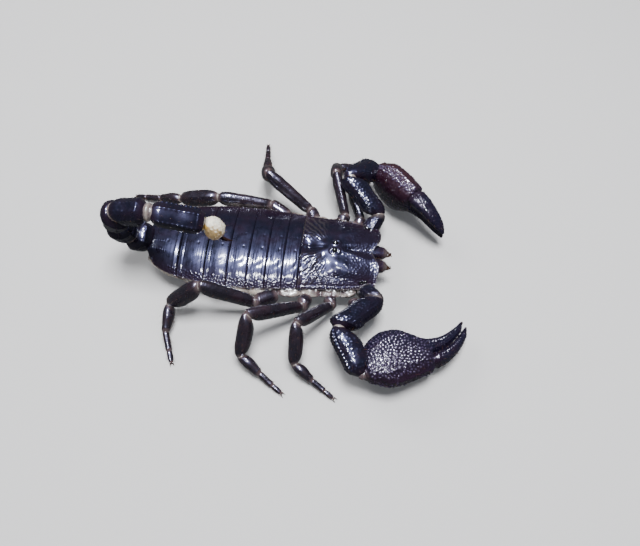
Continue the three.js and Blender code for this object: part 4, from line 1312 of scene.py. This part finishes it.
def build_palp(label, sign):
    """A pedipalp: hip, upper arm, forearm, and the hand with its two fingers."""
    name = f"pedipalp_{label}"
    hip, femur, patella = palp_spans(name)
    rings = cad_rings(f"{name}_finger", patella.end)
    axes = hand_axes(patella.end, rings)
    along, inner, top = axes[1:]
    seed = 30 if label == "left" else 40
    hip_keels = [(DORSAL - 0.5, 0.18, 0.2, 0.8), (DORSAL + 0.5, 0.18, 0.2, 0.8)]
    edge_keels = [(0.0, 0.3, 0.13, 0.8), (math.pi, 0.3, 0.13, 0.8), (VENTRAL, 0.2, 0.2, 0.8)]
    arm_keels = [(DORSAL - 0.62, 0.2, 0.12, 0.85), (DORSAL + 0.62, 0.2, 0.12, 0.85), *edge_keels]
    elbow_keels = [(DORSAL - 0.95 * sign, 0.6, 0.17, 0.9), (DORSAL + 0.5 * sign, 0.12, 0.12, 0.8),
                   *edge_keels]
    hip_sheet = sleeve(hip, keels=hip_keels, seed=seed, pale=0.2)
    hip_sheet.tint(1, 0.7 * smoothstep(0.5, 0.25, hip_sheet.u))
    femur_sheet = sleeve(femur, keels=arm_keels, seed=seed + 1, collar=0.15, power=2.1,
                         spacing=0.17, neck=0.3, mouth=0.25, waves=0.03)
    patella_sheet = sleeve(patella, keels=elbow_keels, seed=seed + 2, collar=0.15, power=2.3,
                           spacing=0.17, neck=0.35, mouth=0.3, waves=0.03)
    for sheet, amount in ((hip_sheet, 0.3), (femur_sheet, 0.6), (patella_sheet, 0.05)):
        granulate(sheet, 0.8, 0.1, amount * sheet.inside, fill=0.42, mark=0.6)
    beside = hump(patella_sheet.angle - (DORSAL - 0.95 * sign), 0.3) * patella_sheet.inside
    granulate(patella_sheet, 0.6, 0.12, 0.7 * beside, fill=0.45, mark=0.7)
    palm = palm_sheet(label, patella.end, axes)
    finger = finger_sheet(rings, inner, top)
    add_piece(f"{name}_hip", [hip_sheet], SHELL, "shell", f"{name}_trochanter")
    add_piece(f"{name}_upper_arm", [femur_sheet], SHELL, "shell", f"{name}_femur")
    add_piece(f"{name}_forearm", [patella_sheet], SHELL, "shell", f"{name}_patella")
    add_piece(f"{name}_hand", [palm], HAND, "hand", f"{name}_manus")
    add_piece(f"{name}_thumb", [finger], HAND, "hand", f"{name}_finger")
    hinge = centre(rings[0]) - along * 0.4
    skins = [joint_skin(hip, femur, 0.84, light=0.1),
             joint_skin(femur, patella, 0.9, 1.25, light=0.22), wrist_skin(patella, along),
             ball_skin(hinge, along, inner, (1.5, 2.4, 1.3), 0.05)]
    add_piece(f"{name}_joints", skins, SOFT, "soft")
    hairs = Bristles()
    for sheet, spacing, tall in ((femur_sheet, 2.4, 1.4), (patella_sheet, 2.2, 1.5),
                                 (palm, 2.6, 1.2), (finger, 1.6, 1.1)):
        hairs.plant(sheet, spacing, tall, lean=0.4, width=0.04)
    hairs.finish(f"{name}_bristles")


def ball_skin(mid, way, side, sizes, light):
    """A folded, rounded bag of soft skin."""
    side = unit(side - np.dot(side, way) * way)
    sheet, rise = ball(mid, (side, np.cross(way, side), way), sizes, (32, 44), crease=0.05)
    # Paler on the crests of the folds and darker in the creases: painted shade in the creases.
    sheet.tint(1, light * (1 + 0.8 * np.sin(rise * 2 * FOLDS)))
    sheet.tint(2, 0.4)
    return sheet


def wrist_skin(patella, along):
    wide, tall = (0.75 * size for size in patella.sizes(1.0))
    way = unit(patella.along + along)
    return ball_skin(patella.end, way, patella.side, (wide, tall, 1.2), 0.02)


# ---------------------------------------------------------------- soft flank and underside

def probe_belly():
    """Height of the underside at places along it, just beside the middle line."""
    tree = solid_tree(["belly_plates", "leg_bases"])
    rear, front = TAIL_ROOT + 1.2, 18.5
    return [(x, probe(tree, (x, 0.4, -1.0), (0, 0, 1))[2]) for x in np.linspace(rear, front, 15)]


BELLY_LINE = probe_belly()
PLATE_EDGES = [0.0] + [box(name)[0][0] - ORIGIN[0] for name in TERGITES]
BELLY_BREAK = box("belly_plates")[1][0] - ORIGIN[0]     # where the leg bases begin


def belly_height(x):
    return curve(x, BELLY_LINE)


LEG_ROOTS = [15.5, 9.8, 3.8, -2.6]
# How far the soft skin swells out past the back plates, most of all over the leg roots.
FLANK_SWELL = [(-47, 0), (-31, 0.1), (-25, 1.0), (-10, 1.2), (-4, 1.9), (14, 2.1), (17.2, 1.2)]


def flank_sheet():
    """Soft side skin: it bulges under each back plate and over each leg root, and folds between."""
    low, high = box("flank") - ORIGIN
    rows = round((high[0] - low[0]) / SKIN_SPACING)
    x = np.linspace(low[0], high[0], rows)
    wide, swell = half_width(x), np.interp(x, *np.array(FLANK_SWELL).T)
    reach = wide - 1.3
    ahead = smoothstep(BELLY_BREAK - 0.6, BELLY_BREAK + 0.8, x)
    floor = belly_height(x) + 1.4 + 2.5 * ahead
    droop = ahead * swell
    crest = back_height(x, 0 * x) - 1.9
    shoulder = back_height(x, 0.8 * wide) - 1.7
    section = [(0 * x, crest), (0.45 * wide, crest * 0.7 + shoulder * 0.3), (0.8 * wide, shoulder),
               (reach, EDGE - 0.5 + 0 * x), (wide - 0.5 + 0.4 * swell, EDGE - 0.95 + 0 * x),
               (wide - 0.45 + swell, (EDGE + floor) / 2 - 0.3 * swell),
               (0.94 * reach + 0.85 * swell, floor + 0.45 + 0.2 * swell - 0.9 * droop),
               (0.93 * reach + 0.2 * swell, floor + 0.15 - 0.2 * droop),
               (0.8 * reach, floor + 0.05), (0.3 * reach, floor + 0.1), (0 * x, floor + 0.1)]
    stack = np.array(section)                                # place round, (y, z), rows
    place = np.concatenate([np.linspace(0, 3, 18), np.linspace(3, 7.6, 116)[1:-1],
                            np.linspace(7.6, 10, 18)])
    half = spline(stack, place)
    left = xyz(x + 0 * half[:, 0], half[:, 0], half[:, 1])
    right = left[1:-1][::-1] * np.array([1, -1, 1])
    points = np.concatenate([left, right]).transpose(1, 0, 2)
    around = np.concatenate([place, place[1:-1][::-1]])[None]
    sheet = Sheet(points)
    exposed = plateau(around, 3.0, 3.8, 7.0, 7.8)
    between = [(a + b) / 2 for a, b in zip(LEG_ROOTS, LEG_ROOTS[1:])]
    head_fold, waist_fold = 18.4, -6.4      # ahead of the first leg root and behind the last one
    behind_waist = [edge for edge in PLATE_EDGES if edge < waist_fold - 1.6]
    edges = np.array(sorted([head_fold, *between, waist_fold, *behind_waist]))
    i = np.clip(np.searchsorted(edges, x) - 1, 0, len(edges) - 2)
    v = np.clip((x - edges[i]) / (edges[i + 1] - edges[i]), 0, 1)
    bulge = (np.sin(math.pi * v) ** 0.6)[:, None]
    rise = (0.5 + 0.45 * ahead[:, None]) * bulge - 0.3 - 0.45 * ahead[:, None]
    sheet.lift(rise * exposed)
    sheet.aim()
    crumple = noise(sheet.points * np.array([1.0, 0.3, 0.35]), 0.8, 101)
    level = noise(sheet.points * np.array([0.3, 1.0, 1.0]), 0.9, 102)
    wet = ahead[:, None]                    # the glistening folds over the leg roots
    lumps = noise(sheet.points, 1.9, 104) * wet
    ripples = noise(sheet.points, 0.7, 105) * wet
    sheet.lift(exposed * (0.12 * crumple + 0.07 * level + 0.3 * lumps + 0.08 * ripples))
    blotch = smoothstep(-0.4, 0.3, noise(sheet.points, 1.5, 103))
    # Painted shade in the folds: the pale skin is darker in the hollows of its crumples and between
    # the bulges, and redder between the bulges further back.
    light = 0.85 - 0.4 * np.clip(-crumple, 0, 1) - wet * (0.4 + 0.3 * blotch)
    sheet.tint(1, exposed * np.clip(light - 0.35 * (1 - bulge), 0, 1))
    sheet.tint(2, 0.6 * (1 - bulge) * (1 - wet) + 0.5 * blotch * wet + 0 * around)
    sheet.aim()
    return placed(sheet)


def belly_plate(number):
    """One of the five plates under the hind body; all but the last have a breathing slit at each
    side.
    """
    low, high = box("belly_plates") - ORIGIN
    step = (high[0] - low[0]) / 5
    front, rear = high[0] - number * step, high[0] - (number + 1) * step
    overhang = 0 if number == 4 else 0.35
    rows = round(step / 0.16)
    x = np.linspace(front + (0.7 if number else 0), rear - overhang, rows)[:, None]
    reach = half_width(x) - 1.55
    y = across(130) * reach
    x = x + 0 * y
    u = (front - x) / step
    side = np.abs(y) / reach
    z = belly_height(x) + 0.85 * side ** 4 + 0.12
    z += 0.45 * (1 - smoothstep(0, 0.1, u)) - 0.12 * np.sin(math.pi * np.clip(u, 0, 1))
    z -= 0.14 * smoothstep(0.8, 1.0, u)
    if number < 4:
        slit, ridge = 7.6, 3.4      # places of the breathing slits and of the low ridges
        for sign in (1, -1):
            slant = (u - 0.5) * step * 1.1 + 0.25 * (np.abs(y) - slit)
            away = np.hypot(slant, (y - sign * slit) * 0.32)
            z += 0.4 * hump(away, 0.42) - 0.14 * hump(away - 0.5, 0.3)
        for sign in (1, -1):
            z += 0.1 * hump(y - sign * ridge, 0.8) * smoothstep(0.1, 0.5, u)
    else:
        for place in (2.2, 5.4):
            z -= 0.18 * hump(np.abs(y) - place, 0.5) * smoothstep(0.3, 0.6, u) * (1 - side ** 4)
    z += 0.05 * noise(xyz(x, y, z), 1.8, 110 + number)
    sheet = Sheet(xyz(x, y, z), wrap=False, facing=-1)
    sheet.tint(2, 0.4 + 0.4 * smoothstep(0.6, 1, side))
    sheet.tint(1, 0.4 * smoothstep(0.97, 1.0, side) + 0.5 * smoothstep(0.95, 1, u)
               + 0.6 * (1 - smoothstep(0, 0.08, u)))
    return placed(close_plate(sheet, 0.4))


def wedge(outer, inner, wide, thick, seed, spacing=0.25):
    """A leg base: it narrows from the leg towards the middle line."""
    span = Span(ORIGIN + outer, ORIGIN + inner, [])
    span.widths, span.heights = ([(0, a), (0.4, (a + b) / 2), (1, b)] for a, b in (wide, thick))
    return sleeve(span, neck=0.12, collar=0.05, keels=((VENTRAL, 0.15, 0.3, 0),), power=2.6,
                  spacing=spacing, seed=seed)


# Inner ends of the leg bases: place along the body and distance from the middle line.
COXA_INNER = ((11.9, 1.9), (8.3, 1.7), (4.6, 1.9), (1.9, 2.6))


def leg_bases():
    sheets = []
    for _, sign in SIDES:
        for number, (root, (x, y)) in enumerate(zip(LEG_ROOTS, COXA_INNER), 1):
            outer = np.array([root, sign * 11.3, 4.9])
            inner = np.array([x, sign * y, belly_height(x) + 1.25])
            sheets.append(wedge(outer, inner, (1.9, 1.5), (1.9, 1.2), 120 + number))
        outer, inner = np.array([16.8, sign * 6.6, 5.1]), np.array([14.6, sign * 1.5, 4.6])
        sheets.append(wedge(outer, inner, (2.6, 1.9), (2.1, 1.4), 130))     # the pedipalp's base
        for x, y in ((12.6, 1.5), (10.0, 1.2)):     # lobes that close the mouth from below
            start = np.array([x, sign * y, belly_height(x) + 1.1])
            end = start + np.array([5.4, -0.2 * sign, 0.3])
            sheets.append(wedge(start, end, (1.1, 0.8), (0.9, 0.6), 140, 0.2))
    return sheets + [breastbone(), *genital_flaps(), comb_base()]


def breastbone():
    return pad(np.array([0.3, 0, belly_height(0.3) + 0.5]), 2.1, 1.45, 0.55, 2.6)


def genital_flaps():
    z = belly_height(-3.0) + 0.5
    return [pad(np.array([-3.2, sign * 1.3, z]), 1.4, 1.25, 0.5, 2.2) for _, sign in SIDES]


def comb_base():
    return pad(np.array([-6.0, 0, belly_height(-6.0) + 0.55]), 1.2, 2.6, 0.5, 3)


def pad(mid, long, wide, thick, power):
    """A low rounded plate on the underside."""
    rise = np.linspace(-0.49, 0.49, 28)[:, None] * math.pi
    cos, sin = squared(turns(72)[None], power)
    ring = np.cos(rise) ** 0.5
    points = xyz(ring * cos * long, ring * sin * wide, np.sin(rise) * thick + 0 * cos)
    points[..., 2] += 0.12 * hump(points[..., 1], 0.25) * (np.sin(rise) < 0)
    sheet = Sheet(points + mid + ORIGIN)
    sheet.tint(2, 0.5)
    return sheet


def comb(label, sign):
    """A comb: a jointed bar with a small lobe and a tooth on each joint."""
    low, high = box(f"comb_{label}") - ORIGIN
    z = (low[2] + high[2]) / 2
    thick = (high[2] - low[2]) / 2
    lean = math.radians(108)
    out = np.array([math.cos(lean), sign * math.sin(lean), 0])
    back = np.array([-math.sin(lean), sign * math.cos(lean), 0])
    root = np.array([-8.6, sign * 1.2, z])
    sheets = []
    long, teeth = 10.5, 12
    pitch = long / teeth
    for k in range(3):
        a, b = long * k / 3 + 0.05, long * (k + 1) / 3 - 0.05
        wide = (1.15, 1.0, 0.75)[k]
        start = root + out * a - back * wide
        sheets.append(flat_lobe(start, start + out * (b - a), back, wide, thick))
    for k in range(teeth):
        base = root + out * pitch * (k + 0.55)
        tall = 1.5 - 0.6 * k / teeth
        sheets.append(flat_lobe(base - back * 0.25, base + back * tall, out, pitch * 0.4, thick))
        if k < teeth - 1:
            bead = base + out * pitch * 0.5 - back * 0.12
            sheets.append(flat_lobe(bead - back * 0.3, bead + back * 0.28, out, pitch * 0.32,
                                    thick * 0.9))
    return sheets


def flat_lobe(start, end, across_way, wide, thick):
    """A flat lobe from start to end, rounded at both."""
    u = np.linspace(0, 1, 16)[:, None]
    ring = np.sin((u * 0.98 + 0.01) * math.pi) ** 0.35
    path = start + ORIGIN + (end - start) * u
    return tube(path, across_way, UP, ring * wide, ring * thick, 20)


def jaw(label, sign):
    """A jaw: a rounded block with two toothed fingers."""
    name = f"chelicera_{label}"
    rings = cad_rings(name, ORIGIN + np.array([15.0, 0, 8]))
    last = centre(rings[3])
    span = Span(centre(rings[0]), last, rings[:4])
    block = sleeve(span, neck=0.05, collar=0.12, seed=150, power=2.6, spacing=0.16)
    block.tint(2, 0.35 + 0.65 * smoothstep(0.55, 0.95, block.u))
    block.tint(1, 0.25 * smoothstep(0.8, 1.0, block.u))
    fingers = []
    inwards = np.array([0.0, -sign, 0.0])
    tips = ((0.75, 0.35, 3.2, 0.62), (-0.75, 0.15, 2.9, 0.58))
    for offset, rise, long, thick in tips:
        base = last - FORWARD * 0.9 - inwards * offset + UP * (rise - 0.3)
        bite_way = inwards * np.sign(offset)
        fingers.append(hook(base, unit(FORWARD - 0.12 * UP), unit(bite_way - 0.6 * UP), long, thick,
                            0.9, spacing=0.1))
        for k in range(3):
            tooth = base + FORWARD * (1.0 + 0.6 * k) + bite_way * 0.32
            fingers.append(hook(tooth, unit(bite_way + 0.2 * FORWARD), FORWARD, 0.55, 0.2, 0.2,
                                spacing=0.1))
    return block, fingers


def build_underside():
    add_piece("side_skin", [flank_sheet()], SOFT, "soft", "flank")
    add_piece("belly_shell", [belly_plate(k) for k in range(5)], BELLY, "belly", "belly_plates")
    add_piece("leg_base_shells", leg_bases(), BELLY, "belly", "leg_bases")
    for label, sign in SIDES:
        add_piece(f"comb_teeth_{label}", comb(label, sign), BELLY, "belly", f"comb_{label}")
        block, fingers = jaw(label, sign)
        add_piece(f"jaw_{label}", [block], SHELL, "shell", f"chelicera_{label}")
        add_piece(f"jaw_fingers_{label}", fingers, CLAW, "shell")
        hairs = Bristles()
        hairs.plant(block, 0.7, 1.1, lean=0.9, where=smoothstep(0.5, 0.9, block.u))
        hairs.finish(f"jaw_bristles_{label}")


# ---------------------------------------------------------------- scene and camera

AIM = np.array([5.9, -6.6, 8.0])      # what the camera looks at, from the shield's rear edge
AZIMUTH, ELEVATION = math.radians(6), math.radians(60)
DISTANCE = 186.7                      # from the camera to what it looks at
LENS = 35                             # focal length, for Blender's own sensor width


def build_camera():
    level = math.cos(ELEVATION)
    back = Vector((math.sin(AZIMUTH) * level, -math.cos(AZIMUTH) * level, math.sin(ELEVATION)))
    data = bpy.data.cameras.new("camera")
    data.lens = LENS
    data.clip_start, data.clip_end = 0.01, 10
    camera = bpy.data.objects.new("camera", data)
    camera.location = Vector((ORIGIN + AIM) * MM) + back * DISTANCE * MM
    camera.rotation_mode = "QUATERNION"
    camera.rotation_quaternion = (-back).to_track_quat("-Z", "Y")
    bpy.context.scene.collection.objects.link(camera)
    bpy.context.scene.camera = camera


def area_light(name, place, size, power, colour=(1, 1, 1)):
    """A lamp at `place`, in metres, that points at the frame's origin."""
    data = bpy.data.lights.new(name, "AREA")
    data.shape = "RECTANGLE"
    data.size, data.size_y = size
    data.energy = power
    data.color = colour
    lamp = bpy.data.objects.new(name, data)
    lamp.location = place
    lamp.rotation_mode = "QUATERNION"
    lamp.rotation_quaternion = (-Vector(place)).to_track_quat("-Z", "Y")
    bpy.context.scene.collection.objects.link(lamp)
    return lamp


def build_floor():
    """A pale square floor, just under the feet."""
    rows = 24
    reach, drop = 1.5, 0.00002      # metres
    axis = np.linspace(-reach, reach, rows)
    x, y = np.meshgrid(axis, axis, indexing="ij")
    corners = xyz(x, y, 0 * x - drop).reshape(-1, 3)
    index = np.arange(rows * rows).reshape(rows, rows)
    faces = np.stack([index[:-1, :-1], index[1:, :-1], index[1:, 1:], index[:-1, 1:]], -1)
    mesh = bpy.data.meshes.new("floor")
    mesh.from_pydata(corners.tolist(), [], faces.reshape(-1, 4).tolist())
    material = bpy.data.materials.new("pale_floor")
    material.use_nodes = True
    shader = material.node_tree.nodes["Principled BSDF"]
    shader.inputs["Base Color"].default_value = rgb(0.55, 0.545, 0.54)
    shader.inputs["Roughness"].default_value = 0.85
    mesh.materials.append(material)
    floor = bpy.data.objects.new("floor", mesh)
    bpy.context.scene.collection.objects.link(floor)
    return floor


def build_light(floor):
    """Two small lamps draw the highlights and nothing else. The broad lamps and the floor, which
    the shell would mirror, are hidden from its reflections."""
    glint = area_light("glint", (-0.075, 0.075, 0.6), (0.11, 0.035), 12.0, (0.9, 0.94, 1.0))
    side_glint = area_light("side_glint", (-0.06, -0.18, 0.58), (0.1, 0.03), 2.4,
                            (0.92, 0.93, 1.0))
    for small in (glint, side_glint):
        small.data.use_shadow = False
        small.visible_diffuse = False
    key = area_light("key", (0.04, 0.0, 0.62), (0.22, 0.22), 9.0, (0.96, 0.97, 1.0))
    rim = area_light("rim", (-0.4, 0.35, 0.45), (0.3, 0.3), 2.4)
    for broad in (key, rim, floor):
        broad.visible_glossy = False
    world = bpy.data.worlds.new("studio")
    world.use_nodes = True
    colour, strength = world.node_tree.nodes["Background"].inputs[:2]
    colour.default_value = rgb(0.9, 0.93, 1.0)
    strength.default_value = 0.12
    bpy.context.scene.world = world


build_back()
for side_label, side_sign in SIDES:
    for leg_number in range(1, 5):
        build_leg(side_label, leg_number)
    build_palp(side_label, side_sign)
build_tail()
build_underside()
build_camera()
build_light(build_floor())
